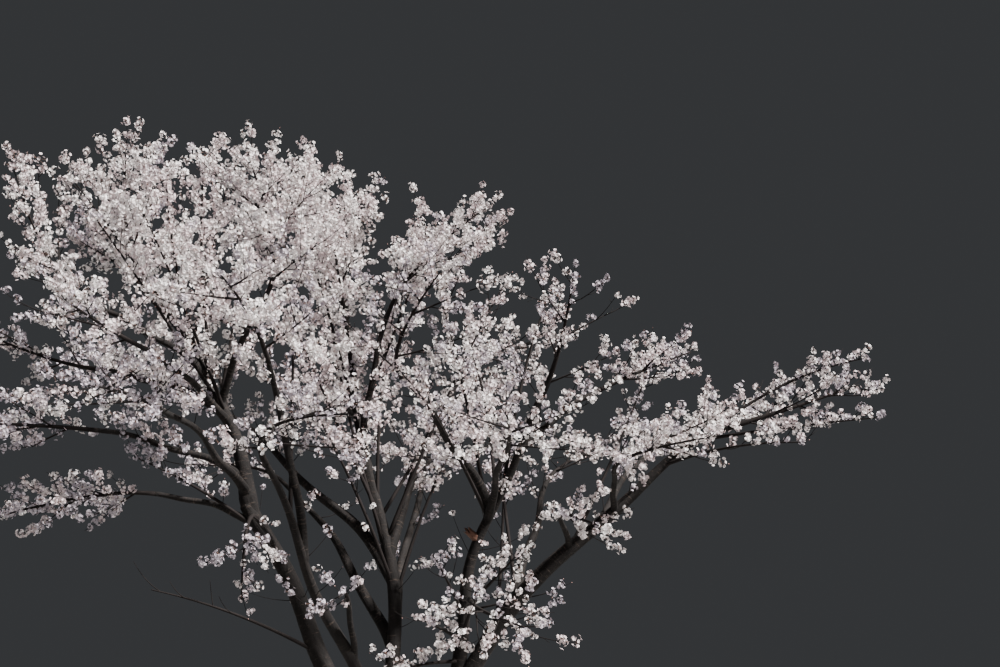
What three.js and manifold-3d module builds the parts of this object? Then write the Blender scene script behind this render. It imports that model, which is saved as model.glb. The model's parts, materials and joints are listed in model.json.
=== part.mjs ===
// A white flowering cherry, rooted in level ground. A short trunk forks low into spreading stems,
// their boughs lie in loose, nearly level layers, and each bough ends in its own mass of blossom.
// Millimetres, +Z up. The origin is the middle of the flat cut at ground level.
// The tree is higher on its left (-X) and reaches out low and thin on its right (+X).

import * as THREE from 'three';
import { mergeVertices } from 'three/addons/utils/BufferGeometryUtils.js';
import Module from 'manifold-3d';

const wasm = await Module();
wasm.setup();

// The trunk, from the ground to its fork.
const TRUNK = {
  height: 660,
  waist: 205, // radius half way up
  flare: 120, // extra radius at the ground
  flareHeight: 150, // height in which most of the flare is gone
  rootRidges: 5,
  ridgeDepth: 0.16, // of the radius at the ground
  ridgeFade: 4, // how fast the ridges fade out up the trunk
  ridgeTurn: 0.6, // radians from the side
  shoulder: 10, // extra radius at the fork
  brow: 0.78, // the rim of the fork, as a share of the radius under it
  lean: 70, // the fork stands this far off the foot
  leanHeading: 195,
  sides: 15,
  steps: 7,
};

// The stems. A limb leaves its parent at the share `at` of the parent's length, and its tip lies
// at a heading (degrees from +X toward +Y), a reach from the trunk's foot and a height. It bends
// by `bow` of its length, upward and inward, at the share `turn` of the way. foot and tip are radii.
const STEMS = [
  { name: 'stem_left', parent: 'trunk', at: 0.86, heading: 188, reach: 1500, height: 3440,
    bow: 0.02, turn: 0.5, foot: 108, tip: 80 },
  { name: 'stem_right', parent: 'trunk', at: 0.84, heading: 356, reach: 3250, height: 4200,
    bow: 0.15, turn: 0.72, foot: 112, tip: 32 },
  { name: 'stem_back', parent: 'trunk', at: 0.9, heading: 118, reach: 1350, height: 5400,
    bow: 0.12, turn: 0.4, foot: 98, tip: 34 },
  { name: 'stem_front', parent: 'trunk', at: 0.8, heading: 241, reach: 2250, height: 3750,
    bow: 0.07, turn: 0.5, foot: 80, tip: 30 },
  { name: 'stem_middle', parent: 'stem_right', at: 0.17, heading: 340, reach: 1500, height: 4500,
    bow: 0.12, turn: 0.45, foot: 76, tip: 32 },
  { name: 'stem_left_top', parent: 'stem_left', at: 0.985, heading: 176, reach: 2550, height: 5550,
    bow: 0.17, turn: 0.5, foot: 79, tip: 34 },
];

// The boughs, each with the place that its mass of blossom starts from.
const BOUGHS = [
  { name: 'crown_far_left', parent: 'stem_left_top', at: 0.6, heading: 189, reach: 2950, height: 5350 },
  { name: 'crown_front', parent: 'stem_left_top', at: 0.45, heading: 214, reach: 1500, height: 5450 },
  { name: 'crown_right', parent: 'stem_back', at: 0.72, heading: 105, reach: 600, height: 5450 },
  { name: 'upper_left', parent: 'stem_left_top', at: 0.4, heading: 172, reach: 3150, height: 4850 },
  { name: 'upper_front_left', parent: 'stem_left_top', at: 0.35, heading: 208, reach: 2700, height: 4900 },
  { name: 'upper_front', parent: 'stem_front', at: 0.72, heading: 243, reach: 2350, height: 4650 },
  { name: 'upper_front_right', parent: 'stem_middle', at: 0.62, heading: 274, reach: 1650, height: 4550 },
  { name: 'upper_right', parent: 'stem_middle', at: 0.82, heading: 2, reach: 2000, height: 4600 },
  { name: 'upper_back_right', parent: 'stem_back', at: 0.52, heading: 74, reach: 1850, height: 4800 },
  { name: 'upper_back', parent: 'stem_back', at: 0.6, heading: 109, reach: 2300, height: 4750 },
  { name: 'upper_back_left', parent: 'stem_back', at: 0.47, heading: 141, reach: 2800, height: 4600 },
  { name: 'lower_left', parent: 'stem_left_top', at: 0.12, heading: 192, reach: 2950, height: 4150 },
  { name: 'lower_front_left', parent: 'stem_left_top', at: 0.06, heading: 224, reach: 2850, height: 4250 },
  { name: 'lower_front_right', parent: 'stem_middle', at: 0.6, heading: 302, reach: 2000, height: 3900 },
  { name: 'lower_right', parent: 'stem_right', at: 0.62, heading: 338, reach: 2250, height: 3750 },
  { name: 'lower_right_back', parent: 'stem_right', at: 0.58, heading: 20, reach: 2750, height: 4050 },
  { name: 'lower_back_right', parent: 'stem_right', at: 0.36, heading: 50, reach: 2400, height: 3800 },
  { name: 'lower_back', parent: 'stem_back', at: 0.38, heading: 86, reach: 2350, height: 3900 },
  { name: 'lower_back_left', parent: 'stem_back', at: 0.33, heading: 122, reach: 2750, height: 3800 },
  { name: 'low_left', parent: 'stem_left', at: 0.93, heading: 187, reach: 2400, height: 3550 },
  { name: 'hanging_left', parent: 'stem_left', at: 0.78, heading: 208, reach: 1500, height: 3300 },
  { name: 'hanging_front', parent: 'stem_front', at: 0.4, heading: 250, reach: 1200, height: 2500 },
  { name: 'hanging_middle', parent: 'stem_middle', at: 0.3, heading: 300, reach: 1500, height: 2500 },
  { name: 'hanging_right', parent: 'stem_right', at: 0.5, heading: 338, reach: 1700, height: 3300 },
];

// The masses. Each grows on from the tip of the limb that carries it, the bough of its own name or
// the one that `on` names. Its axis has a heading and a climb in degrees, and its space is an egg
// round that axis with a length, a width and a depth.
const MASSES = [
  { name: 'crown_left', on: 'stem_left_top', heading: 165, climb: 78, size: [1900, 2100, 1700] },
  { name: 'crown_back', on: 'stem_back', heading: 160, climb: 76, size: [2150, 1900, 1700] },
  { name: 'crown_right', heading: 345, climb: 46, size: [1750, 1900, 1200] },
  { name: 'crown_far_left', heading: 200, climb: 56, size: [1900, 1900, 1100] },
  { name: 'crown_front', heading: 262, climb: 58, size: [1750, 2000, 1200] },
  { name: 'upper_left', heading: 168, climb: 18, size: [1900, 1950, 950] },
  { name: 'upper_front_left', heading: 254, climb: 10, size: [1850, 1950, 950] },
  { name: 'upper_front', heading: 258, climb: 26, size: [1750, 2000, 1000] },
  { name: 'upper_front_right', heading: 292, climb: 42, size: [1600, 1900, 1000] },
  { name: 'upper_middle', on: 'stem_middle', heading: 300, climb: 62, size: [1550, 1750, 1250] },
  { name: 'upper_right', heading: 26, climb: 22, size: [1450, 1600, 750] },
  { name: 'upper_back_right', heading: 50, climb: 24, size: [1800, 1900, 900] },
  { name: 'upper_back', heading: 96, climb: 24, size: [1800, 2000, 950] },
  { name: 'upper_back_left', heading: 154, climb: 20, size: [2000, 1950, 950] },
  { name: 'lower_left', heading: 196, climb: 2, size: [2050, 1900, 800] },
  { name: 'lower_front_left', heading: 258, climb: 3, size: [1900, 2000, 800] },
  { name: 'lower_front', on: 'stem_front', heading: 300, climb: 12, size: [2100, 1900, 800] },
  { name: 'lower_front_right', heading: 270, climb: 8, size: [1850, 1800, 800] },
  { name: 'lower_right', heading: 314, climb: 12, size: [1650, 1650, 750] },
  { name: 'lower_far_right', on: 'stem_right', heading: 4, climb: 18, size: [1750, 1500, 800] },
  { name: 'lower_right_back', heading: 32, climb: 20, size: [1850, 1600, 700] },
  { name: 'lower_back_right', heading: 58, climb: 18, size: [2000, 1850, 800] },
  { name: 'lower_back', heading: 84, climb: 9, size: [1700, 1950, 800] },
  { name: 'lower_back_left', heading: 142, climb: 9, size: [1850, 1950, 800] },
  { name: 'low_left', heading: 186, climb: -8, size: [1750, 1750, 700] },
  { name: 'hanging_left', heading: 262, climb: -56, size: [1150, 1000, 900] },
  { name: 'hanging_front', heading: 268, climb: 5, size: [950, 950, 700] },
  { name: 'hanging_middle', heading: 292, climb: -8, size: [1550, 1650, 900] },
  { name: 'hanging_right', heading: 300, climb: -8, size: [1050, 1050, 800] },
];

// How limbs taper and wander. A bough's taper is the radius it gains per metre toward its foot.
const BOUGH = { tip: 24, taper: 12, bow: 0.1, turn: 0.45 };
const LIMB = {
  sides: 6,
  stretch: 500, // length of one straight stretch
  fewest: 4, // stretches
  slim: 0.85, // the power by which the radius falls
  wander: 0.016, // of the length
  riseWaves: 9, // radians of wander up and down along the limb
  sideWaves: 7, // radians of wander from side to side
};
const FULL_TURN = 2 * Math.PI;
const SEAT_GAP = 0.3; // between a limb and what carries it

// How a mass branches.
const TWIGS = 6;
const LEADER = {
  reach: 0.8, // share of the mass's length
  bend: 0.35, // share of its own reach in which it turns from the bough's course to its own
  foot: 44,
  tip: 36,
  steps: 4,
};
const TWIG = {
  first: 0.14, // share of the leader at which the first twig may leave
  span: 0.78, // share of the leader that carries twigs
  jitter: 0.6, // of the distance between twigs
  angle: 54, // from the leader
  scatter: 24, // degrees round the leader
  foot: 21,
  tip: 19,
  shortest: 130,
  long: 310, // from here on a twig carries more sprays
  sunk: 12,
  endRoom: 0.62, // of a spray's length, left beyond the twig for the spray at its end
};
const GOLDEN_ANGLE = 137.5;
const SPRAY = {
  length: 680,
  least: 0.55, // of the length
  spread: 0.3, // of the length, between the shortest and the longest
  waist: 165, // half its width
  waistAt: 0.46,
  flat: 0.72, // thickness over width
  angle: 46, // from the twig
  endAngle: 8,
  scatter: 1.9, // radians round the twig
  sunk: 4,
};
const SHARES = { // where along a twig its sprays leave, the likeliest first
  leader: [1, 0.95, 0.84, 0.7],
  long: [1, 0.66, 0.33, 0.8, 0.5],
  short: [1, 0.45],
  bare: [1],
};
const CLEAR = 5; // least gap between two masses, or a mass and a limb
const BEADS = { limb: 36, leader: 12, twig: 6, spray: 5 };

const UP = new THREE.Vector3(0, 0, 1);
const radians = THREE.MathUtils.degToRad;

// A repeatable chance from 0 to 1 for a seed and a count.
function chance(seed, count) {
  const wave = Math.sin(seed * 127.1 + count * 311.7) * 43758.5453;
  return wave - Math.floor(wave);
}

function direction(heading, climb) {
  const level = Math.cos(radians(climb));
  return new THREE.Vector3(
    level * Math.cos(radians(heading)),
    level * Math.sin(radians(heading)),
    Math.sin(radians(climb)),
  );
}

function along(start, heading, distance) {
  return start.clone().addScaledVector(heading, distance);
}

// The part of `guide` that is square to `axis`, at length one.
function squareTo(axis, guide) {
  return guide.clone().addScaledVector(axis, -guide.dot(axis)).normalize();
}

function tangent(path, t) {
  const step = 0.0005;
  return path(Math.min(t + step, 1)).sub(path(Math.max(t - step, 0))).normalize();
}

// A closed tube of changing radius round a path, with its cross-sections carried without twist.
// `swell` makes it fatter and longer by that much, for cutting a neighbour clear of it.
function tube(path, radius, sides, steps, swell = 0) {
  const section = new THREE.Shape(Array.from({ length: sides }, (unused, index) => {
    const turn = (FULL_TURN * index) / sides;
    return new THREE.Vector2(Math.cos(turn), Math.sin(turn));
  }));
  const prism = new THREE.ExtrudeGeometry(section, { depth: 1, steps, bevelEnabled: false });
  const frames = [];
  let normal = squareTo(tangent(path, 0), new THREE.Vector3(0.3, 1, 0.1));
  for (let step = 0; step <= steps; step += 1) {
    const t = step / steps;
    const forward = tangent(path, t);
    normal = squareTo(forward, normal);
    const end = step === 0 ? -swell : step === steps ? swell : 0;
    frames.push({
      middle: along(path(t), forward, end),
      normal,
      side: forward.clone().cross(normal),
      radius: radius(t) + swell / Math.cos(Math.PI / sides),
    });
  }
  const places = prism.attributes.position;
  for (let index = 0; index < places.count; index += 1) {
    const frame = frames[Math.round(places.getZ(index) * steps)];
    const place = along(frame.middle, frame.normal, frame.radius * places.getX(index));
    place.addScaledVector(frame.side, frame.radius * places.getY(index));
    places.setXYZ(index, place.x, place.y, place.z);
  }
  return solidOf(prism);
}

function solidOf(geometry) {
  geometry.deleteAttribute('normal');
  geometry.deleteAttribute('uv');
  const merged = mergeVertices(geometry);
  return new wasm.Manifold(new wasm.Mesh({
    numProp: 3,
    vertProperties: merged.attributes.position.array,
    triVerts: new Uint32Array(merged.index.array),
  }));
}

function geometryOf(solid) {
  const { vertProperties, triVerts } = solid.getMesh();
  const geometry = new THREE.BufferGeometry();
  geometry.setAttribute('position', new THREE.BufferAttribute(vertProperties, 3));
  geometry.setIndex(new THREE.BufferAttribute(triVerts, 1));
  geometry.computeVertexNormals();
  return geometry;
}

function largestPiece(solid) {
  const pieces = solid.decompose();
  return pieces.reduce((best, piece) => (piece.volume() > best.volume() ? piece : best));
}

// The trunk leans a little, narrows above its root flare and widens again under the fork.
function growTrunk() {
  const fork = along(new THREE.Vector3(0, 0, TRUNK.height), direction(TRUNK.leanHeading, 0), TRUNK.lean);
  const path = (t) => new THREE.Vector3(fork.x * t * t, fork.y * t * t, TRUNK.height * t);
  const radius = (t) => {
    const flare = TRUNK.flare * Math.exp((-TRUNK.height * t) / TRUNK.flareHeight);
    return TRUNK.waist + flare + TRUNK.shoulder * t ** 3;
  };
  return { name: 'trunk', path, radius };
}

// Rings of the trunk stay level, so its foot is one flat cut. Ridges run down into the root flare.
function trunkSolid(trunk, swell = 0) {
  const shape = new THREE.CylinderGeometry(1, 1, 1, TRUNK.sides, TRUNK.steps);
  const places = shape.attributes.position;
  for (let index = 0; index < places.count; index += 1) {
    const t = places.getY(index) + 0.5;
    const turn = Math.atan2(places.getX(index), places.getZ(index));
    const ridge = TRUNK.ridgeDepth * Math.exp(-TRUNK.ridgeFade * t)
      * Math.cos(TRUNK.rootRidges * turn + TRUNK.ridgeTurn);
    const brow = t > 0.99 ? TRUNK.brow : 1;
    const radius = trunk.radius(t) * (1 + ridge) * brow + swell;
    const middle = trunk.path(t);
    const rise = t > 0.99 ? swell : 0;
    places.setXYZ(
      index,
      middle.x + radius * places.getZ(index),
      middle.y + radius * places.getX(index),
      middle.z + rise,
    );
  }
  return solidOf(shape);
}

// A limb runs from its parent's middle to its tip, bowed, with a slight wander.
function growLimb(plan, parent, seed) {
  const foot = parent.path(plan.at);
  const tip = direction(plan.heading, 0).multiplyScalar(plan.reach);
  tip.z = plan.height;
  const chord = tip.clone().sub(foot);
  const length = chord.length();
  const forward = chord.clone().normalize();
  const rise = squareTo(forward, UP);
  const side = forward.clone().cross(rise);
  const bow = plan.bow ?? BOUGH.bow;
  const bend = along(along(foot, chord, plan.turn ?? BOUGH.turn), rise, bow * length);
  const path = (t) => {
    const place = foot.clone().multiplyScalar((1 - t) ** 2);
    place.addScaledVector(bend, 2 * t * (1 - t)).addScaledVector(tip, t * t);
    const sway = LIMB.wander * length * Math.sin(Math.PI * t);
    place.addScaledVector(rise, sway * Math.sin(LIMB.riseWaves * t + FULL_TURN * chance(seed, 1)));
    return place.addScaledVector(side, sway * Math.sin(LIMB.sideWaves * t + FULL_TURN * chance(seed, 2)));
  };
  const tipRadius = plan.tip ?? BOUGH.tip;
  const footRadius = plan.foot ?? BOUGH.tip + (BOUGH.taper * length) / 1000;
  const radius = (t) => footRadius + (tipRadius - footRadius) * t ** LIMB.slim;
  return { name: plan.name, parent, path, radius, length };
}

function limbTube(limb, swell = 0) {
  const steps = Math.max(LIMB.fewest, Math.round(limb.length / LIMB.stretch));
  return tube(limb.path, limb.radius, LIMB.sides, steps, swell);
}

// The limb's solid, cut clear of its parent and of the limbs that leave the parent beside it.
function limbSolid(limb, cutters) {
  return largestPiece(cutters.reduce((left, cutter) => left.subtract(cutter), limbTube(limb)));
}

// Round beads along a path stand in for a piece while masses share out the space.
function beadsAlong(path, radius, count) {
  const half = path(0).distanceTo(path(1)) / count / 2;
  return Array.from({ length: count }, (unused, index) => {
    const t = (index + 0.5) / count;
    return { middle: path(t), radius: Math.hypot(radius(t), half) };
  });
}

function isClear(beads, others) {
  return beads.every((bead) => others.every(
    (other) => bead.middle.distanceTo(other.middle) > bead.radius + other.radius + CLEAR,
  ));
}

// The egg-shaped space of a mass, and how far a ray from inside it runs before it leaves.
function spaceOf(plan, start) {
  const axis = direction(plan.heading, plan.climb);
  const side = direction(plan.heading + 90, 0);
  const lift = axis.clone().cross(side);
  const half = plan.size.map((extent) => extent / 2);
  const middle = along(start, axis, half[0]);
  const scaled = (vector) => new THREE.Vector3(
    vector.dot(axis) / half[0],
    vector.dot(side) / half[1],
    vector.dot(lift) / half[2],
  );
  const room = (place, heading) => {
    const from = scaled(place.clone().sub(middle));
    const ray = scaled(heading);
    const a = ray.lengthSq();
    const b = from.dot(ray);
    const inside = b * b - a * (from.lengthSq() - 1);
    return inside > 0 ? (Math.sqrt(inside) - b) / a : 0;
  };
  return { axis, side, lift, half, room };
}

// A spray is a stretched eight-faced crystal: its root is sunk in the twig and it is widest
// a little short of half way.
function makeSpray(root, heading, length, roll) {
  const across = squareTo(heading, UP).applyAxisAngle(heading, roll);
  const over = heading.clone().cross(across);
  const share = length / SPRAY.length;
  const start = along(root, heading, -SPRAY.sunk);
  const path = (t) => along(start, heading, (length + SPRAY.sunk) * t);
  const radius = (t) => {
    const swell = t < SPRAY.waistAt ? t / SPRAY.waistAt : (1 - t) / (1 - SPRAY.waistAt);
    return SPRAY.waist * share * swell;
  };
  const solid = () => {
    const shape = new THREE.OctahedronGeometry(1, 0);
    const places = shape.attributes.position;
    for (let index = 0; index < places.count; index += 1) {
      const level = places.getY(index);
      const t = level < -0.5 ? 0 : level > 0.5 ? 1 : SPRAY.waistAt;
      const place = path(t);
      place.addScaledVector(over, SPRAY.waist * share * places.getX(index));
      place.addScaledVector(across, SPRAY.flat * SPRAY.waist * share * places.getZ(index));
      places.setXYZ(index, place.x, place.y, place.z);
    }
    return solidOf(shape);
  };
  return { solid, beads: beadsAlong(path, radius, BEADS.spray) };
}

// Sprays leave a twig left and right by turns, and one ends it. None is longer than its room.
function spraysOn(path, shares, space, seed) {
  const sprays = [];
  shares.forEach((share, index) => {
    const forward = tangent(path, share);
    const roll = Math.PI * index + SPRAY.scatter * (chance(seed, index + 20) - 0.5);
    const spread = squareTo(forward, space.side).applyAxisAngle(forward, roll);
    const angle = share === 1 ? SPRAY.endAngle : SPRAY.angle * (0.8 + 0.4 * chance(seed, index + 30));
    const heading = forward.clone().multiplyScalar(Math.cos(radians(angle)));
    heading.addScaledVector(spread, Math.sin(radians(angle))).normalize();
    const root = path(share);
    const wanted = SPRAY.length * (1 + SPRAY.spread * (chance(seed, index + 40) - 0.5));
    const length = Math.min(wanted, space.room(root, heading));
    if (length > SPRAY.least * SPRAY.length) {
      sprays.push(makeSpray(root, heading, length, Math.PI * chance(seed, index + 50)));
    }
  });
  return sprays;
}

// A mass is proposed whole: a leader from the limb's tip, twigs set round it by the golden
// angle and drawn out toward the wide side of its space, and sprays on every twig.
function proposeMass(plan, limb, seed) {
  const forward = tangent(limb.path, 1);
  const start = along(limb.path(1), forward, SEAT_GAP);
  const space = spaceOf(plan, start);
  const reach = plan.size[0] * LEADER.reach;
  const bend = along(start, forward, reach * LEADER.bend);
  const end = along(start, space.axis, reach);
  const path = (t) => {
    const place = start.clone().multiplyScalar((1 - t) ** 2);
    return place.addScaledVector(bend, 2 * t * (1 - t)).addScaledVector(end, t * t);
  };
  const radius = (t) => LEADER.foot + (LEADER.tip - LEADER.foot) * t;
  const widest = Math.max(space.half[1], space.half[2]);
  const twigs = [];
  for (let index = 0; index < TWIGS; index += 1) {
    const share = TWIG.first + (TWIG.span * (index + TWIG.jitter * chance(seed, index))) / TWIGS;
    const turn = radians(GOLDEN_ANGLE * (index + seed) + TWIG.scatter * chance(seed, index + 10));
    const spread = space.side.clone().multiplyScalar((Math.cos(turn) * space.half[1]) / widest);
    spread.addScaledVector(space.lift, (Math.sin(turn) * space.half[2]) / widest);
    const heading = space.axis.clone().multiplyScalar(Math.cos(radians(TWIG.angle)));
    heading.addScaledVector(spread, Math.sin(radians(TWIG.angle))).normalize();
    const root = path(share);
    const length = space.room(root, heading) - TWIG.endRoom * SPRAY.length;
    const bare = length < TWIG.shortest;
    const twigPath = (t) => along(root, heading, length * t - TWIG.sunk * (1 - t));
    const twigRadius = (t) => TWIG.foot + (TWIG.tip - TWIG.foot) * t;
    const draw = seed * 10 + index;
    const shares = length > TWIG.long ? SHARES.long : SHARES.short;
    twigs.push({
      bare,
      path: twigPath,
      radius: twigRadius,
      beads: bare ? [] : beadsAlong(twigPath, twigRadius, BEADS.twig),
      sprays: bare
        ? spraysOn((t) => along(root, heading, TWIG.shortest * (t - 1)), SHARES.bare, space, draw)
        : spraysOn(twigPath, shares, space, draw),
    });
  }
  return { plan, path, radius, twigs, tipSprays: spraysOn(path, SHARES.leader, space, seed * 10 + 9) };
}

// All masses grow side by side, one twig each by turns and then one twig's sprays each by turns.
// What would touch a limb or another mass is skipped, and so is a spray that would run into
// the twigs or sprays beside it.
function shareOut(masses, limbBeads) {
  const grown = masses.map((mass) => ({
    mass,
    wood: beadsAlong(mass.path, mass.radius, BEADS.leader),
    sprays: [],
    parts: [tube(mass.path, mass.radius, 3, LEADER.steps)],
  }));
  const fits = (beads, own) => isClear(beads, limbBeads) && grown.every(
    (other) => other === own || (isClear(beads, other.wood) && isClear(beads, other.sprays)),
  );
  const rounds = Array.from({ length: TWIGS }, (unused, index) => index);
  rounds.forEach((index) => {
    grown.forEach((own) => {
      const twig = own.mass.twigs[index];
      twig.kept = fits(twig.beads, own);
      if (!twig.kept || twig.bare) return;
      own.wood.push(...twig.beads);
      own.parts.push(tube(twig.path, twig.radius, 3, 1));
    });
  });
  const keep = (spray, own, carrier) => {
    const outer = spray.beads.slice(1);
    const beside = own.wood.filter((bead) => !carrier.includes(bead));
    if (!fits(spray.beads, own) || !isClear(outer, own.sprays) || !isClear(outer, beside)) return;
    own.sprays.push(...outer);
    own.parts.push(spray.solid());
  };
  grown.forEach((own) => {
    own.mass.tipSprays.forEach((spray) => keep(spray, own, own.wood.slice(0, BEADS.leader)));
  });
  rounds.forEach((index) => {
    grown.forEach((own) => {
      const twig = own.mass.twigs[index];
      const carrier = twig.bare ? own.wood.slice(0, BEADS.leader) : twig.beads;
      if (twig.kept) twig.sprays.forEach((spray) => keep(spray, own, carrier));
    });
  });
  return grown;
}

const bark = new THREE.MeshStandardMaterial({ color: 0x2b2321, roughness: 0.9, metalness: 0 });
const blossom = new THREE.MeshStandardMaterial({ color: 0xe9e4e8, roughness: 0.75, metalness: 0 });

const tree = new THREE.Group();
tree.name = 'white_cherry_tree';

function addMesh(name, solid, material) {
  const mesh = new THREE.Mesh(geometryOf(solid), material);
  mesh.name = name;
  tree.add(mesh);
}

const trunk = growTrunk();
addMesh('trunk', trunkSolid(trunk), bark);

const limbs = new Map([['trunk', trunk]]);
const cutters = new Map([['trunk', trunkSolid(trunk, SEAT_GAP)]]);
[...STEMS, ...BOUGHS].forEach((plan, index) => {
  const parent = limbs.get(plan.parent);
  const limb = growLimb(plan, parent, index + 1);
  const beside = [...limbs.values()].filter((other) => other.parent === parent);
  const near = [parent, ...beside].map((other) => cutters.get(other.name));
  const name = plan.name.startsWith('stem') ? plan.name : `bough_${plan.name}`;
  addMesh(name, limbSolid(limb, near), bark);
  limbs.set(plan.name, limb);
  cutters.set(plan.name, limbTube(limb, SEAT_GAP));
});

const limbBeads = [...limbs.values()].flatMap((limb) => beadsAlong(limb.path, limb.radius, BEADS.limb));
const proposals = MASSES.map(
  (plan, index) => proposeMass(plan, limbs.get(plan.on ?? plan.name), index + 1),
);
shareOut(proposals, limbBeads).forEach(({ mass, parts }) => {
  const joined = parts.reduce((whole, part) => whole.add(part));
  addMesh(`blossom_${mass.plan.name}`, largestPiece(joined), blossom);
});

export default tree;
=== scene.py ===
import json
import math
from collections import namedtuple

import bpy
import numpy as np
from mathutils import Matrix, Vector

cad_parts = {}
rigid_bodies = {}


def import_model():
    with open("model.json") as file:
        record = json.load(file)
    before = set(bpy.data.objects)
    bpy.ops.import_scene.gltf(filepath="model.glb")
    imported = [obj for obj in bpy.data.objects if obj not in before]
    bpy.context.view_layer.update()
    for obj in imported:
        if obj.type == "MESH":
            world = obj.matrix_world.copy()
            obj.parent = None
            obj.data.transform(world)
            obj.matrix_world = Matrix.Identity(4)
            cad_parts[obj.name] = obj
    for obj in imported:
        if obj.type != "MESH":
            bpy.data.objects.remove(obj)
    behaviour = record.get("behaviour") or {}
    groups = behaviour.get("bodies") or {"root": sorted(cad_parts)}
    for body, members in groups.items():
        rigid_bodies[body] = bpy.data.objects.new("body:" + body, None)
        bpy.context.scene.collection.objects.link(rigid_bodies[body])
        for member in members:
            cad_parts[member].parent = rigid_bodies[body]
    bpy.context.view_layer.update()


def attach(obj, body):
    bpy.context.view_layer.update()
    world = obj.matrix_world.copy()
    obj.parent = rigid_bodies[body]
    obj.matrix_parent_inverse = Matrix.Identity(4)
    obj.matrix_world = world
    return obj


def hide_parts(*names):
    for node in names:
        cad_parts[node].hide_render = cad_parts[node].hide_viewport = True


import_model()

UP = np.array([0.0, 0.0, 1.0])
FULL_TURN = 2 * math.pi
draw = np.random.default_rng(29)

# The camera stands where the photograph was taken from, 19 m off, and looks a little upward.
CAMERA = dict(place=(1.0, -19.4, 2.9), aim=(1.0, 0.0, 5.165), lens=70.0, sensor=36.0)

TRUNK = dict(
    height=0.66, waist=0.205, flare=0.12, flare_height=0.15, root_ridges=5, ridge_depth=0.16,
    ridge_fade=4, ridge_turn=0.6, shoulder=0.01, lean=0.07, lean_heading=195,
)

# A limb leaves its parent at the share `at` of the parent's length, and its tip lies at a heading
# (degrees from +X toward +Y), a reach from the trunk's foot and a height. It bends by `bow` of its
# length, upward and inward, at the share `turn` of the way. foot and tip are radii.
LimbPlan = namedtuple("LimbPlan", "name parent at heading reach height bow turn foot tip")
STEMS = [
    LimbPlan("stem_left", "trunk", 0.86, 188, 1.50, 3.44, 0.02, 0.5, 0.108, 0.080),
    LimbPlan("stem_right", "trunk", 0.84, 356, 3.25, 4.20, 0.15, 0.72, 0.112, 0.032),
    LimbPlan("stem_back", "trunk", 0.9, 118, 1.35, 5.40, 0.12, 0.4, 0.098, 0.034),
    LimbPlan("stem_front", "trunk", 0.8, 241, 2.25, 3.75, 0.07, 0.5, 0.080, 0.030),
    LimbPlan("stem_middle", "stem_right", 0.17, 340, 1.50, 4.50, 0.12, 0.45, 0.076, 0.032),
    LimbPlan("stem_left_top", "stem_left", 0.985, 176, 2.55, 5.55, 0.17, 0.5, 0.079, 0.034),
]
BOUGH = dict(tip=0.024, taper=0.012, bow=0.1, turn=0.45)
BOUGH_PLACES = [
    ("crown_far_left", "stem_left_top", 0.6, 189, 2.95, 5.35),
    ("crown_front", "stem_left_top", 0.45, 214, 1.50, 5.45),
    ("crown_right", "stem_back", 0.72, 105, 0.60, 5.45),
    ("upper_left", "stem_left_top", 0.4, 172, 3.15, 4.85),
    ("upper_front_left", "stem_left_top", 0.35, 208, 2.70, 4.90),
    ("upper_front", "stem_front", 0.72, 243, 2.35, 4.65),
    ("upper_front_right", "stem_middle", 0.62, 274, 1.65, 4.55),
    ("upper_right", "stem_middle", 0.82, 2, 2.00, 4.60),
    ("upper_back_right", "stem_back", 0.52, 74, 1.85, 4.80),
    ("upper_back", "stem_back", 0.6, 109, 2.30, 4.75),
    ("upper_back_left", "stem_back", 0.47, 141, 2.80, 4.60),
    ("lower_left", "stem_left_top", 0.12, 192, 2.95, 4.15),
    ("lower_front_left", "stem_left_top", 0.06, 224, 2.85, 4.25),
    ("lower_front_right", "stem_middle", 0.6, 302, 2.00, 3.90),
    ("lower_right", "stem_right", 0.62, 338, 2.25, 3.75),
    ("lower_right_back", "stem_right", 0.58, 20, 2.75, 4.05),
    ("lower_back_right", "stem_right", 0.36, 50, 2.40, 3.80),
    ("lower_back", "stem_back", 0.38, 86, 2.35, 3.90),
    ("lower_back_left", "stem_back", 0.33, 122, 2.75, 3.80),
    ("low_left", "stem_left", 0.93, 187, 2.40, 3.55),
    ("hanging_left", "stem_left", 0.78, 208, 1.50, 3.30),
    ("hanging_front", "stem_front", 0.4, 250, 1.20, 2.50),
    ("hanging_middle", "stem_middle", 0.3, 300, 1.50, 2.50),
    ("hanging_right", "stem_right", 0.5, 338, 1.70, 3.30),
]
LIMB = dict(slim=0.85, wander=0.016, rise_waves=9, side_waves=7)
SEAT_GAP = 0.0003

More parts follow.
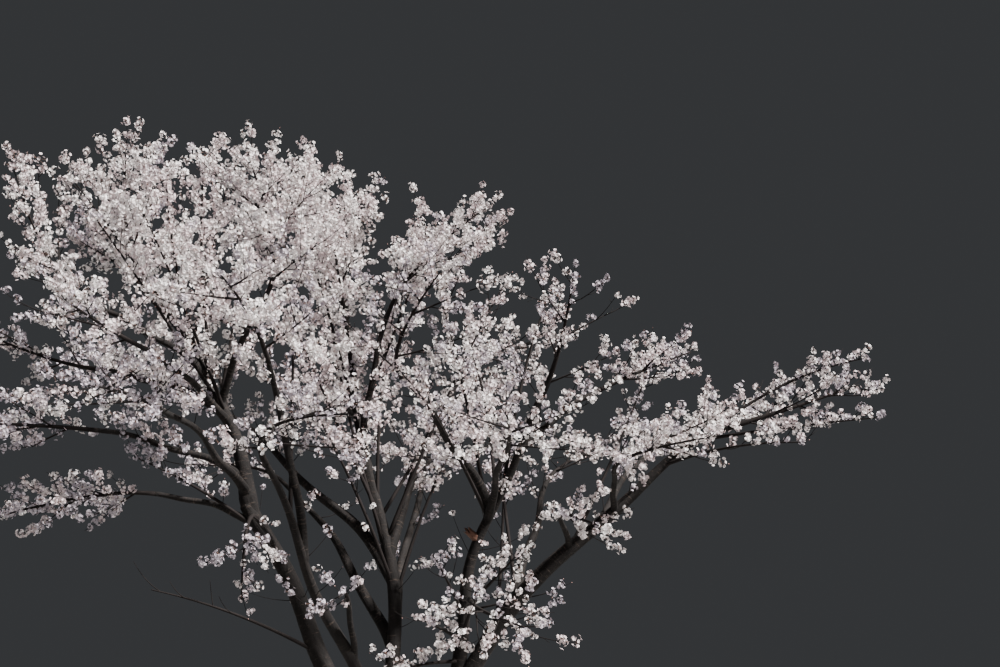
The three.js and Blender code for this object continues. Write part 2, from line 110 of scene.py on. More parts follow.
# A mass grows on from the tip of the limb that carries it. Its axis has a heading and a climb in
# degrees, and its space is an egg round that axis with a length, a width and a depth. Where the
# photograph shows it thinner than the rest, it keeps only a share of the shoots between its sprays
# and of its clusters, and its clusters may be smaller than usual.
MassPlan = namedtuple("MassPlan", "name heading climb size shoots_kept clusters_kept cluster_size")
MASSES = [MassPlan(*row) for row in [
    ("crown_left", 165, 78, (1.90, 2.10, 1.70), 1, 1, 1),
    ("crown_back", 160, 76, (2.15, 1.90, 1.70), 1, 1, 1),
    ("crown_right", 345, 46, (1.75, 1.90, 1.20), 0.5, 0.85, 1),
    ("crown_far_left", 200, 56, (1.90, 1.90, 1.10), 0.65, 0.88, 1),
    ("crown_front", 262, 58, (1.75, 2.00, 1.20), 1, 1, 1),
    ("upper_left", 168, 18, (1.90, 1.95, 0.95), 0.4, 0.68, 1),
    ("upper_front_left", 254, 10, (1.85, 1.95, 0.95), 0.4, 0.72, 1),
    ("upper_front", 258, 26, (1.75, 2.00, 1.00), 0.85, 0.95, 1),
    ("upper_front_right", 292, 42, (1.60, 1.90, 1.00), 0.28, 0.68, 1),
    ("upper_middle", 300, 62, (1.55, 1.75, 1.25), 0.25, 0.62, 0.9),
    ("upper_right", 26, 22, (1.45, 1.60, 0.75), 0.5, 0.85, 0.82),
    ("upper_back_right", 50, 24, (1.80, 1.90, 0.90), 0.3, 0.56, 1),
    ("upper_back", 96, 24, (1.80, 2.00, 0.95), 0.5, 0.78, 1),
    ("upper_back_left", 154, 20, (2.00, 1.95, 0.95), 0.45, 0.72, 1),
    ("lower_left", 196, 2, (2.05, 1.90, 0.80), 0.6, 0.8, 1),
    ("lower_front_left", 258, 3, (1.90, 2.00, 0.80), 0.42, 0.68, 1),
    ("lower_front", 300, 12, (2.10, 1.90, 0.80), 0.27, 0.56, 1),
    ("lower_front_right", 270, 8, (1.85, 1.80, 0.80), 0.35, 0.72, 1),
    ("lower_right", 314, 12, (1.65, 1.65, 0.75), 0.45, 0.8, 1),
    ("lower_far_right", 4, 18, (1.75, 1.50, 0.80), 0.38, 0.72, 0.74),
    ("lower_right_back", 32, 20, (1.85, 1.60, 0.70), 0.5, 0.76, 1),
    ("lower_back_right", 58, 18, (2.00, 1.85, 0.80), 0.35, 0.54, 1),
    ("lower_back", 84, 9, (1.70, 1.95, 0.80), 0.5, 0.8, 1),
    ("lower_back_left", 142, 9, (1.85, 1.95, 0.80), 0.2, 0.46, 1),
    ("low_left", 186, -8, (1.75, 1.75, 0.70), 0.75, 0.9, 0.92),
    ("hanging_left", 262, -56, (1.15, 1.00, 0.90), 0.6, 0.8, 0.86),
    ("hanging_front", 268, 5, (0.95, 0.95, 0.70), 0.4, 0.6, 0.84),
    ("hanging_middle", 292, -8, (1.55, 1.65, 0.90), 0.25, 0.6, 0.86),
    ("hanging_right", 300, -8, (1.05, 1.05, 0.80), 0.6, 0.8, 0.86),
]]
CARRIED_BY_STEM = dict(
    crown_left="stem_left_top", crown_back="stem_back", upper_middle="stem_middle",
    lower_front="stem_front", lower_far_right="stem_right",
)

# How a mass branches, as in the solids.
TWIGS = 6
LEADER = dict(reach=0.8, bend=0.35, foot=0.044, tip=0.036)
TWIG = dict(
    first=0.14, span=0.78, jitter=0.6, angle=54, scatter=24, foot=0.021, tip=0.019,
    shortest=0.13, long=0.31, sunk=0.012, end_room=0.62,
)
GOLDEN_ANGLE = 137.5
SPRAY = dict(
    length=0.68, least=0.55, spread=0.3, waist=0.165, waist_at=0.46, angle=46, angle_from=0.8,
    angle_more=0.4, end_angle=8, scatter=1.9, sunk=0.004,
)
SHARES = dict(
    leader=(1, 0.95, 0.84, 0.7), long=(1, 0.66, 0.33, 0.8, 0.5), short=(1, 0.45), bare=(1,),
)
CLEAR = 0.005
BEADS = dict(limb=36, leader=12, twig=6, spray=5)
# Where the counts for chance() start: a twig's share and turn, a spray's roll, angle and length.
COUNTS = dict(share=0, turn=10, roll=20, angle=30, length=40)
# Every mass has this many seeds for its sprays, and those on its leader take the last.
SEEDS_A_MASS = 10
# How far the sine of chance() moves on with each seed and each count, and how steep it is.
SEED_STEP, COUNT_STEP, STEEPNESS = 127.1, 311.7, 43758.5453


# Vectors

def unit(vectors):
    """The vectors at length one."""
    return vectors / np.linalg.norm(vectors, axis=-1, keepdims=True)


def square_to(axes, guides):
    """The part of each guide that is square to its axis, at length one."""
    return unit(guides - (guides * axes).sum(-1, keepdims=True) * axes)


def turned(vectors, axes, angles):
    """Vectors square to their axes, turned about them: cos(angle) v + sin(angle) (axis x v)."""
    angles = np.asarray(angles)[..., None]
    return np.cos(angles) * vectors + np.sin(angles) * np.cross(axes, vectors)


def direction(heading, climb=0.0):
    """The unit vector at a heading from +X toward +Y and a climb above level, in degrees."""
    heading, climb = math.radians(heading), math.radians(climb)
    level = math.cos(climb)
    return np.array([level * math.cos(heading), level * math.sin(heading), math.sin(climb)])


def bezier(foot, bend, tip, shares):
    """The curve (1-t)^2 foot + 2t(1-t) bend + t^2 tip at every share t."""
    t = np.asarray(shares, float)[..., None]
    return (1 - t) ** 2 * foot + 2 * t * (1 - t) * bend + t ** 2 * tip


def tangent(path, shares):
    """The heading of a path at each share, from two places a thousandth of its length apart."""
    shares, step = np.asarray(shares, float), 0.0005
    return unit(path(np.minimum(shares + step, 1)) - path(np.maximum(shares - step, 0)))


def chance(seed, count):
    """A repeatable chance from 0 to 1: the fraction of a steep sine of the seed and the count."""
    wave = np.sin(seed * SEED_STEP + np.asarray(count) * COUNT_STEP) * STEEPNESS
    return wave - np.floor(wave)


def turns(sides):
    """Angles spaced evenly round a circle."""
    return FULL_TURN * np.arange(sides) / sides


def on_circle(turn):
    """Places on the level unit circle: (cos(turn), sin(turn), 0)."""
    return np.stack([np.cos(turn), np.sin(turn), 0 * turn], axis=-1)


# The limbs

Limb = namedtuple("Limb", "name path radius length parent at")


def grow_trunk():
    """The trunk's middle leans as t^2 of its height. Its radius falls off from the root flare as
    exp(-height) and gains a shoulder as t^3 under the fork."""
    fork = direction(TRUNK["lean_heading"]) * TRUNK["lean"] + UP * TRUNK["height"]

    def path(shares):
        t = np.asarray(shares, float)[..., None]
        return np.concatenate([fork[:2] * t ** 2, fork[2:] * t], axis=-1)

    def radius(shares):
        flare = TRUNK["flare"] * np.exp(-TRUNK["height"] * shares / TRUNK["flare_height"])
        return TRUNK["waist"] + flare + TRUNK["shoulder"] * shares ** 3

    return Limb("trunk", path, radius, TRUNK["height"], None, 0.0)


def grow_limb(plan, parent, seed):
    """A bezier from the parent's middle to the tip, bowed upward, plus a slow wander of two sines
    that fades out at both ends. The radius falls as t^slim from foot to tip."""
    foot = parent.path(plan.at)
    tip = direction(plan.heading) * plan.reach + UP * plan.height
    chord = tip - foot
    length = np.linalg.norm(chord)
    forward = chord / length
    rise = square_to(forward, UP)
    side = np.cross(forward, rise)
    bend = foot + chord * plan.turn + rise * plan.bow * length
    foot_radius = plan.foot or plan.tip + BOUGH["taper"] * length

    def path(shares):
        t = np.asarray(shares, float)
        sway = LIMB["wander"] * length * np.sin(np.pi * t)
        rising = sway * np.sin(LIMB["rise_waves"] * t + FULL_TURN * chance(seed, 1))
        sideways = sway * np.sin(LIMB["side_waves"] * t + FULL_TURN * chance(seed, 2))
        return bezier(foot, bend, tip, t) + rising[..., None] * rise + sideways[..., None] * side

    def radius(shares):
        return foot_radius + (plan.tip - foot_radius) * np.asarray(shares, float) ** LIMB["slim"]

    return Limb(plan.name, path, radius, length, parent, plan.at)


def grow_limbs():
    """The trunk, the stems and the boughs by name, each grown from the one that it leaves."""
    boughs = [
        LimbPlan(*place, BOUGH["bow"], BOUGH["turn"], None, BOUGH["tip"]) for place in BOUGH_PLACES
    ]
    limbs = {"trunk": grow_trunk()}
    for seed, plan in enumerate(STEMS + boughs, start=1):
        limbs[plan.name] = grow_limb(plan, limbs[plan.parent], seed)
    return limbs


# The masses, by the rule of the solids: which twigs and sprays a mass keeps

Space = namedtuple("Space", "axis side lift half middle")
Spray = namedtuple("Spray", "root heading length beads")


def space_of(plan, start):
    """The egg of a mass: three axes square to each other, half its length, width and depth, and
    its middle, half its length along the axis from the start."""
    axis, side = direction(plan.heading, plan.climb), direction(plan.heading + 90)
    half = np.array(plan.size) / 2
    return Space(axis, side, np.cross(axis, side), half, start + axis * half[0])


def room(space, places, headings):
    """How far rays run before they leave the egg: the larger root d of |place + d heading| = 1,
    measured in half axes, or 0 where a ray misses the egg."""
    measure = np.stack([space.axis, space.side, space.lift], axis=1) / space.half
    start, ray = (places - space.middle) @ measure, headings @ measure
    a, b = (ray ** 2).sum(-1), (start * ray).sum(-1)
    inside = b * b - a * ((start ** 2).sum(-1) - 1)
    return np.where(inside > 0, (np.sqrt(np.maximum(inside, 0)) - b) / a, 0.0)


def beads_along(path, radius, count):
    """Round beads along a path, as rows of place and radius, that stand in for a piece."""
    shares = (np.arange(count) + 0.5) / count
    half = np.linalg.norm(path(0.0) - path(1.0)) / count / 2
    return np.column_stack([path(shares), np.hypot(radius(shares), half)])


def is_clear(beads, others):
    """True if every bead is clear of every other one."""
    gaps = np.linalg.norm(beads[:, None, :3] - others[None, :, :3], axis=-1)
    return bool((gaps > beads[:, None, 3] + others[None, :, 3] + CLEAR).all())


def make_spray(root, heading, length):
    """A spray's middle line and its beads, thickest at its waist."""
    share = length / SPRAY["length"]
    start = root - heading * SPRAY["sunk"]

    def path(shares):
        return start + heading * (length + SPRAY["sunk"]) * np.asarray(shares, float)[..., None]

    def radius(shares):
        waist_at = SPRAY["waist_at"]
        return SPRAY["waist"] * share * np.minimum(shares / waist_at, (1 - shares) / (1 - waist_at))

    return Spray(root, heading, length, beads_along(path, radius, BEADS["spray"]))


def taper(wood):
    """The radius of a leader or a twig as a function of the share: straight from foot to tip."""
    def radius(shares):
        return wood["foot"] + (wood["tip"] - wood["foot"]) * shares

    return radius


def sprays_on(path, shares, space, seed):
    """Sprays leave a twig left and right by turns, and one ends it. None is longer than its room."""
    sprays = []
    for index, share in enumerate(shares):
        forward = tangent(path, share)
        roll = np.pi * index + SPRAY["scatter"] * (chance(seed, index + COUNTS["roll"]) - 0.5)
        spread = turned(square_to(forward, space.side), forward, roll)
        angle = SPRAY["end_angle"]
        if share < 1:
            more = SPRAY["angle_more"] * chance(seed, index + COUNTS["angle"])
            angle = SPRAY["angle"] * (SPRAY["angle_from"] + more)
        angle = math.radians(angle)
        heading = unit(forward * math.cos(angle) + spread * math.sin(angle))
        root = path(share)
        longer = SPRAY["spread"] * (chance(seed, index + COUNTS["length"]) - 0.5)
        length = min(SPRAY["length"] * (1 + longer), float(room(space, root, heading)))
        if length > SPRAY["least"] * SPRAY["length"]:
            sprays.append(make_spray(root, heading, length))
    return sprays


class Mass:
    """A mass of blossom: its leader from the limb's tip, the twigs round it by the golden angle,
    and the sprays that they carry."""

    def __init__(self, plan, limb, seed):
        self.name, self.limb, self.seed = plan.name, limb, seed
        forward = tangent(limb.path, 1.0)
        start = limb.path(1.0) + forward * SEAT_GAP
        self.space = space_of(plan, start)
        reach = plan.size[0] * LEADER["reach"]
        bend = start + forward * reach * LEADER["bend"]
        self.leader = (start, bend, start + self.space.axis * reach)
        self.wood = [beads_along(self.path, taper(LEADER), BEADS["leader"])]
        self.spray_beads = np.empty((0, 4))
        self.twigs, self.sprays = [], []
        self.proposed = [self.propose_twig(index) for index in range(TWIGS)]
        last_seed = (seed + 1) * SEEDS_A_MASS - 1
        self.tip_sprays = sprays_on(self.path, SHARES["leader"], self.space, last_seed)

    def path(self, shares):
        """Places on the leader's bezier at the shares."""
        return bezier(*self.leader, shares)

    def propose_twig(self, index):
        """A twig's root, heading and length, its beads and its sprays. Round the leader it stands
        by the golden angle, wider to the side on which the egg is wider."""
        space, seed = self.space, self.seed
        jitter = TWIG["jitter"] * chance(seed, index + COUNTS["share"])
        share = TWIG["first"] + TWIG["span"] * (index + jitter) / TWIGS
        scatter = TWIG["scatter"] * chance(seed, index + COUNTS["turn"])
        turn = math.radians(GOLDEN_ANGLE * (index + seed) + scatter)
        sideways = space.side * math.cos(turn) * space.half[1]
        upward = space.lift * math.sin(turn) * space.half[2]
        spread = (sideways + upward) / max(space.half[1:])
        angle = math.radians(TWIG["angle"])
        heading = unit(space.axis * math.cos(angle) + spread * math.sin(angle))
        root = self.path(share)
        length = float(room(space, root, heading)) - TWIG["end_room"] * SPRAY["length"]
        bare = length < TWIG["shortest"]

        def path(shares):
            t = np.asarray(shares, float)[..., None]
            if bare:
                return root + heading * TWIG["shortest"] * (t - 1)
            return root + heading * (length * t - TWIG["sunk"] * (1 - t))

        shares = SHARES["bare" if bare else "long" if length > TWIG["long"] else "short"]
        beads = np.empty((0, 4)) if bare else beads_along(path, taper(TWIG), BEADS["twig"])
        sprays = sprays_on(path, shares, space, seed * SEEDS_A_MASS + index)
        return dict(bare=bare, root=root, tip=root + heading * length, beads=beads, sprays=sprays)


def share_out(masses, limb_beads):
    """All masses grow side by side, one twig each by turns and then one twig's sprays each by
    turns. What would touch a limb, another mass or its own neighbours is skipped."""

    def fits(beads, own):
        return is_clear(beads, limb_beads) and all(
            is_clear(beads, np.vstack(other.wood)) and is_clear(beads, other.spray_beads)
            for other in masses if other is not own
        )

    def keep(spray, own, carrier):
        outer = spray.beads[1:]
        beside = np.vstack([np.empty((0, 4))] + [wood for wood in own.wood if wood is not carrier])
        if fits(spray.beads, own) and is_clear(outer, own.spray_beads) and is_clear(outer, beside):
            own.spray_beads = np.vstack([own.spray_beads, outer])
            own.sprays.append(spray)

    for index in range(TWIGS):
        for own in masses:
            twig = own.proposed[index]
            twig["kept"] = fits(twig["beads"], own)
            if twig["kept"] and not twig["bare"]:
                own.wood.append(twig["beads"])
                own.twigs.append((twig["root"], twig["tip"]))
    for own in masses:
        for spray in own.tip_sprays:
            keep(spray, own, own.wood[0])
    for index in range(TWIGS):
        for own in masses:
            twig = own.proposed[index]
            carrier = own.wood[0] if twig["bare"] else twig["beads"]
            for spray in twig["sprays"] if twig["kept"] else ():
                keep(spray, own, carrier)


# Fine growth: shoots and side shoots, as rows of one table

class Shoots:
    """Curved shoots by the row: foot, bend and tip of a bezier, the radii at both ends, the
    number of the mass that they belong to, and the number of their spray for its tint."""

    FIELDS = ("foot", "bend", "tip", "thick", "thin", "mass", "spray")

    def __init__(self, foot, bend, tip, thick, thin, mass, spray):
        count = len(foot)
        self.foot, self.bend, self.tip = foot, bend, tip
        self.thick = np.broadcast_to(thick, count).astype(float)
        self.thin = np.broadcast_to(thin, count).astype(float)
        self.mass = np.broadcast_to(mass, count).astype(int)
        self.spray = np.broadcast_to(spray, count).astype(int)

    def __len__(self):
        return len(self.foot)

    def rows(self, chosen):
        """The chosen rows as a table of their own."""
        return Shoots(*(getattr(self, field)[chosen] for field in self.FIELDS))

    def at(self, shares):
        """Places at the shares, one row of shares for each shoot."""
        return bezier(self.foot[:, None], self.bend[:, None], self.tip[:, None], shares)

    def heading(self, shares):
        """Headings at the shares, from the curve's slope 2(1-t)(bend-foot) + 2t(tip-bend)."""
        t = np.asarray(shares, float)[..., None]
        setting_out, ending = self.bend - self.foot, self.tip - self.bend
        return unit((1 - t) * setting_out[:, None] + t * ending[:, None])

    def radius(self, shares):
        """Radii at the shares, straight from foot to tip."""
        return self.thick[:, None] + (self.thin - self.thick)[:, None] * shares

    def length(self):
        """About the length of each shoot: by way of its bend."""
        out = np.linalg.norm(self.bend - self.foot, axis=1)
        return out + np.linalg.norm(self.tip - self.bend, axis=1)


def joined(parts):
    """Several tables of shoots as one."""
    columns = ([getattr(part, field) for part in parts] for field in Shoots.FIELDS)
    return Shoots(*(np.concatenate(column) for column in columns))


# What the finer wood is like. thick and thin are radii at the foot and the tip. A shoot opens out
# by `angle` and is tilted up from level by `tilt`, a mean and a scatter, both in degrees. `lift`
# turns it upward. Along its wood shoots stand `spacing` apart between the two shares of `span`, and
# `falling` is the share of their length that they lose toward the wood's tip.
LEADER_TIP = 0.007
TWIG_WOOD = dict(thick=0.0115, thin=0.0045, sag=0.012)
MAIN_SHOOT = dict(share=0.93, thick=0.0062, thin=0.0024, lift=0.16)
FILL_SHOOT = dict(
    spacing=0.14, span=(0.06, 1.0), length=(0.3, 0.6), angle=(12, 42), tilt=(8, 18), lift=0.2,
    thick=0.0048, thin=0.0022,
)
# The crown's masses carry further shoots, that may leave their egg by the share `swell`.
CROWN_SHOOT = dict(
    spacing=0.115, span=(0.1, 1.0), length=(0.25, 0.6), angle=(25, 60), tilt=(22, 36), lift=0.3,
    thick=0.0048, thin=0.0022, swell=1.3,
)
FULL_CROWN = ("crown_left", "crown_back", "crown_right", "crown_front")
LIMB_SHOOT = dict(
    spacing=0.11, length=(0.2, 0.75), angle=(35, 75), tilt=(22, 36), lift=0.3, thick=0.006,
    thin=0.0024, crown_floor=3.85, bare_under=2.3, kept_below=0.16, kept_below_behind=0.45,
)
SIDE_SHOOT = dict(angle=(40, 75), tilt=(15, 40), lift=0.2, thick=0.0032, thin=0.0018)
SIDE_ON_MAIN = dict(SIDE_SHOOT, spacing=0.15, span=(0.1, 0.92), length=(0.05, 0.13), falling=0.45)
SIDE_ON_FILL = dict(SIDE_SHOOT, spacing=0.22, span=(0.16, 0.9), length=(0.05, 0.12), falling=0.35)
# Between which shares of its own stretch of the wood a shoot stands.
SHOOT_JITTER = (0.1, 0.9)
# Shoots end this far inside their mass's egg, and those then shorter than the second are left out.
EGG_MARGIN, SHORTEST_SHOOT = 0.03, 0.06
# Each spray or shoot has a number for its tint. The kinds are numbered from these on.
NUMBERED_FROM = dict(twigs=100, main=400, fill=1000, strays=5000, thin_boughs=7000)
# The mass that each stem's own shoots are counted to. A bough's are counted to the mass it carries.
MASS_OF_STEM = dict(
    stem_left="low_left", stem_right="lower_far_right", stem_back="crown_back",
    stem_front="lower_front", stem_middle="upper_middle", stem_left_top="crown_left",
)
# The share of a limb's length from which its own shoots grow.
LIMB_SHOOTS_FROM = 0.18
# The share from which they grow on wood that is bare farther out.
BARE_TO = dict(
    stem_left_top=0.42, lower_front_left=0.7, lower_left=0.35, upper_front_left=0.4, low_left=0.45,
)
# The boughs that keep the larger share of their shoots below the crown's floor.
BEHIND = ("upper_back_right", "lower_back", "lower_back_right", "lower_right_back")
# Wood whose heading rises by more than this carries its shoots in a spiral.
STEEP = 0.72
# Long thin shoots among the stems that end in a single cluster: the stem, the shares of it that
# they leave between, and how many there are.
STRAYS = [
    ("stem_left", (0.5, 0.95), 6), ("stem_front", (0.35, 0.75), 3), ("stem_middle", (0.3, 0.7), 5),
    ("stem_right", (0.3, 0.6), 5), ("stem_back", (0.3, 0.6), 5),
]
STRAY_SHOOT = dict(
    length=(0.25, 0.55), angle=(45, 80), tilt=(22, 36), lift=0.25, thick=0.005, thin=0.0022,
)
# Thin boughs that rise through the crown between the masses, and one low on the left whose shoots
# bear no blossom. They leave a stem at a share of it, and their tip lies at a heading, a reach and
# a height. Shoots stand on them from the share `bare` on, a spacing apart, and are counted to a mass.
ThinPlan = namedtuple("ThinPlan", "stem at heading reach height mass bare spacing")
THIN_BOUGHS = [ThinPlan(*row) for row in [
    ("stem_left_top", 0.50, 189, 1.97, 6.90, "crown_left", 0.3, 0.09),
    ("stem_left_top", 0.75, 185, 3.26, 6.65, "crown_far_left", 0.25, 0.09),
    ("stem_left_top", 0.66, 192, 2.35, 6.60, "crown_left", 0.3, 0.09),
    ("stem_left_top", 0.72, 170, 1.85, 6.70, "crown_left", 0.3, 0.09),
    ("stem_left_top", 0.30, 158, 2.40, 5.90, "crown_left", 0.35, 0.14),
    ("stem_left_top", 0.42, 204, 3.20, 6.25, "crown_left", 0.5, 0.13),
    ("stem_left_top", 0.40, 205, 2.65, 6.20, "crown_left", 0.55, 0.13),
    ("stem_left_top", 0.45, 152, 1.75, 6.55, "crown_left", 0.35, 0.1),
    ("stem_back", 0.80, 72, 0.95, 6.35, "crown_right", 0.3, 0.13),
    ("stem_back", 0.72, 152, 1.30, 6.55, "crown_back", 0.35, 0.1),
    ("stem_back", 0.85, 159, 0.90, 6.75, "crown_back", 0.3, 0.1),
    ("stem_back", 0.60, 168, 1.20, 5.45, "crown_back", 0.3, 0.11),
    ("stem_back", 0.45, 178, 1.05, 4.70, "upper_back_left", 0.35, 0.11),
    ("stem_back", 0.62, 92, 1.45, 5.95, "upper_back", 0.3, 0.13),
    ("stem_right", 0.36, 62, 1.90, 4.75, "lower_back_right", 0.35, 0.13),
    ("stem_right", 0.30, 42, 1.40, 4.35, "lower_back_right", 0.35, 0.12),
    ("stem_back", 0.42, 60, 1.50, 4.50, "lower_back", 0.35, 0.12),
    ("stem_back", 0.60, 65, 2.10, 5.50, "upper_back_right", 0.3, 0.2),
    ("stem_back", 0.50, 127, 1.50, 6.20, "crown_back", 0.4, 0.14),
    ("stem_middle", 0.70, 21, 1.70, 5.80, "upper_middle", 0.3, 0.2),
    ("stem_middle", 0.65, 68, 1.60, 5.35, "upper_middle", 0.3, 0.15),
    ("stem_back", 0.55, 38, 1.30, 5.75, "upper_back_right", 0.35, 0.14),
    ("stem_middle", 0.60, 290, 1.17, 5.50, "upper_front_right", 0.4, 0.16),
    ("stem_middle", 0.60, 275, 2.10, 4.50, "upper_front_right", 0.25, 0.09),
    ("stem_right", 0.50, 21, 2.80, 5.05, "upper_right", 0.55, 0.14),
    ("stem_right", 0.93, 0, 4.68, 4.92, "lower_far_right", 0.3, 0.11),
    ("stem_right", 0.90, 357, 4.72, 4.30, "lower_far_right", 0.3, 0.09),
    ("stem_right", 0.78, 348, 4.00, 4.02, "lower_far_right", 0.3, 0.09),
    ("stem_front", 0.85, 241, 1.85, 5.45, "lower_front", 0.4, 0.16),
    ("stem_left", 0.90, 191, 2.60, 3.90, "low_left", 0.25, 0.13),
    ("stem_middle", 0.28, 287, 1.30, 2.95, "hanging_middle", 0.45, 0.14),
    ("stem_middle", 0.22, 300, 1.75, 2.85, "hanging_middle", 0.35, 0.11),
    ("stem_middle", 0.30, 315, 1.70, 3.00, "hanging_middle", 0.4, 0.12),
    ("stem_middle", 0.13, 268, 1.20, 1.85, "hanging_middle", 0.25, 0.08),
    ("stem_middle", 0.20, 282, 1.35, 2.36, "hanging_middle", 0.4, 0.12),
    ("stem_middle", 0.17, 292, 1.30, 2.10, "hanging_middle", 0.3, 0.1),
]]
BARE_BOUGH = ThinPlan("stem_left", 0.50, 193, 2.41, 2.62, "hanging_left", 0.5, 0.22)
THIN_BOUGH = dict(thick=0.021, thin=0.006, bow=0.07, sway=0.07)
THIN_SHOOT = dict(
    length=(0.22, 0.5), angle=(30, 65), tilt=(22, 36), lift=0.35, thick=0.0052, thin=0.0022,
)
# Masses whose thin boughs bear shorter shoots, as a share of the usual length.
SHORT_SHOOTS = dict(lower_far_right=0.62, hanging_middle=0.85)
# The last three columns of the masses' table, by the mass's number.
SHOOTS_KEPT, CLUSTERS_KEPT, CLUSTER_SIZES = np.array([plan[4:] for plan in MASSES]).T


def between(bounds, count):
    """Seeded draws between two bounds."""
    return draw.uniform(*bounds, count)


def dealt_out(counts):
    """For each of the things that the counts say: the row it belongs to and its number there."""
    rows = np.repeat(np.arange(len(counts)), counts)
    return rows, np.arange(len(rows)) - np.repeat(np.cumsum(counts) - counts, counts)


def stations(shoots, spacing, span, middle, jitter):
    """Shares along shoots, a spacing apart between the two shares of span: the row and the share
    of each, and how many each shoot has. Each lies at `middle` of its stretch, plus a draw."""
    counts = (shoots.length() * (span[1] - span[0]) / spacing).round().astype(int)
    counts = np.maximum(counts, 1)
    rows, order = dealt_out(counts)
    within_stretch = order + middle + between(jitter, len(rows))
    return rows, span[0] + (span[1] - span[0]) * within_stretch / counts[rows], counts


def leaving(forward, angles, tilt):
    """Headings of shoots that leave wood with the headings forward: opened by the angle toward
    its left or right by turns, with the opening tilted up from level. Round steep wood they
    stand in a spiral by the golden angle instead."""
    nudge = 1e-6
    across = square_to(forward, np.cross(forward, UP) + nudge)
    over = np.cross(across, forward)
    hand = np.where(np.arange(len(forward)) % 2, 1.0, -1.0)[:, None]
    spiral = GOLDEN_ANGLE * np.arange(len(forward))
    tilt = np.radians(np.where(forward[:, 2] > STEEP, spiral, tilt))[:, None]
    spread = hand * np.cos(tilt) * across + np.sin(tilt) * over
    angles = np.radians(angles)[:, None]
    return unit(forward * np.cos(angles) + spread * np.sin(angles))


def upturned(foot, heading, length, rule, mass, spray):
    """Shoots that set out along a heading and turn upward: the tip is raised by the rule's lift
    times the length above the straight line, and the bend lies half way on that line."""
    reach = np.asarray(length)[:, None]
    tip = foot + unit(heading + UP * rule["lift"]) * reach
    bend = foot + heading * reach * 0.5
    return Shoots(foot, bend, tip, rule["thick"], rule["thin"], mass, spray)


def shoots_along(parents, rule):
    """Shoots set along parents by a rule, with seeded jitter."""
    rows, shares, _ = stations(parents, rule["spacing"], rule["span"], 0, SHOOT_JITTER)
    carrying = parents.rows(rows)
    forward = carrying.heading(shares[:, None])[:, 0]
    angle = between(rule["angle"], len(rows))
    heading = leaving(forward, angle, draw.normal(*rule["tilt"], len(rows)))
    reach = between(rule["length"], len(rows)) * (1 - rule.get("falling", 0.0) * shares)
    foot = carrying.at(shares[:, None])[:, 0]
    return upturned(foot, heading, reach, rule, carrying.mass, carrying.spray)


def shoots_at(limb, shares, rule, mass):
    """Shoots that leave a limb at the shares, open out to either side and turn upward."""
    count = len(shares)
    angle = between(rule["angle"], count)
    heading = leaving(tangent(limb.path, shares), angle, draw.normal(*rule["tilt"], count))
    return upturned(limb.path(shares), heading, between(rule["length"], count), rule, mass, 0)


def shoots_on_limbs(limbs, number_of):
    """Shoots set along the outer parts of the stems and boughs. Below the crown's floor only a
    seeded share of them grow, that falls to none toward the height `bare_under`."""
    tables = []
    rule = LIMB_SHOOT
    for limb in list(limbs.values())[1:]:
        first = BARE_TO.get(limb.name, LIMB_SHOOTS_FROM)
        count = round(limb.length * (1 - first) / rule["spacing"])
        shares = first + (1 - first) * (np.arange(count) + between(SHOOT_JITTER, count)) / count
        mass = number_of[MASS_OF_STEM.get(limb.name, limb.name)]
        grown = shoots_at(limb, shares, rule, mass)
        above = grown.foot[:, 2] - rule["bare_under"]
        height = above / (rule["crown_floor"] - rule["bare_under"])
        share = rule["kept_below_behind" if limb.name in BEHIND else "kept_below"]
        kept = (height > 1) | (draw.random(count) < share * height)
        tables.append(grown.rows(kept))
    return joined(tables)


def stray_shoots(limbs, number_of):
    """The long thin shoots among the stems that end in a single cluster."""
    strays = joined([
        shoots_at(limbs[name], between(shares, count), STRAY_SHOOT, number_of[MASS_OF_STEM[name]])
        for name, shares, count in STRAYS
    ])
    strays.spray = NUMBERED_FROM["strays"] + np.arange(len(strays))
    return strays


def grow_thin_boughs(limbs, number_of):
    """The thin boughs, as beziers that bow upward and to a seeded side, then the bare one with its
    shoots, and the shoots on the others."""
    boughs, tables = [], []
    wood = THIN_BOUGH
    for index, plan in enumerate(THIN_BOUGHS + [BARE_BOUGH]):
        foot = limbs[plan.stem].path(plan.at)
        tip = direction(plan.heading) * plan.reach + UP * plan.height
        length = np.linalg.norm(tip - foot)
        aside = square_to((tip - foot) / length, draw.normal(0, 1, 3))
        bend = (foot + tip) / 2 + (UP * wood["bow"] + aside * wood["sway"]) * length
        curve = foot[None], bend[None], tip[None]
        number = NUMBERED_FROM["thin_boughs"] + index
        bough = Shoots(*curve, wood["thick"], wood["thin"], number_of[plan.mass], number)
        boughs.append(bough)
        reach = np.array(THIN_SHOOT["length"]) * SHORT_SHOOTS.get(plan.mass, 1)
        tables.append(shoots_along(
            bough, dict(THIN_SHOOT, spacing=plan.spacing, span=(plan.bare, 1.0), length=reach)
        ))
    return joined(boughs[:-1]), joined([boughs[-1], tables[-1]]), joined(tables[:-1])


def thinned(shoots):
    """The shoots, less a seeded choice of those in loose masses."""
    return shoots.rows(draw.random(len(shoots)) < SHOOTS_KEPT[shoots.mass])


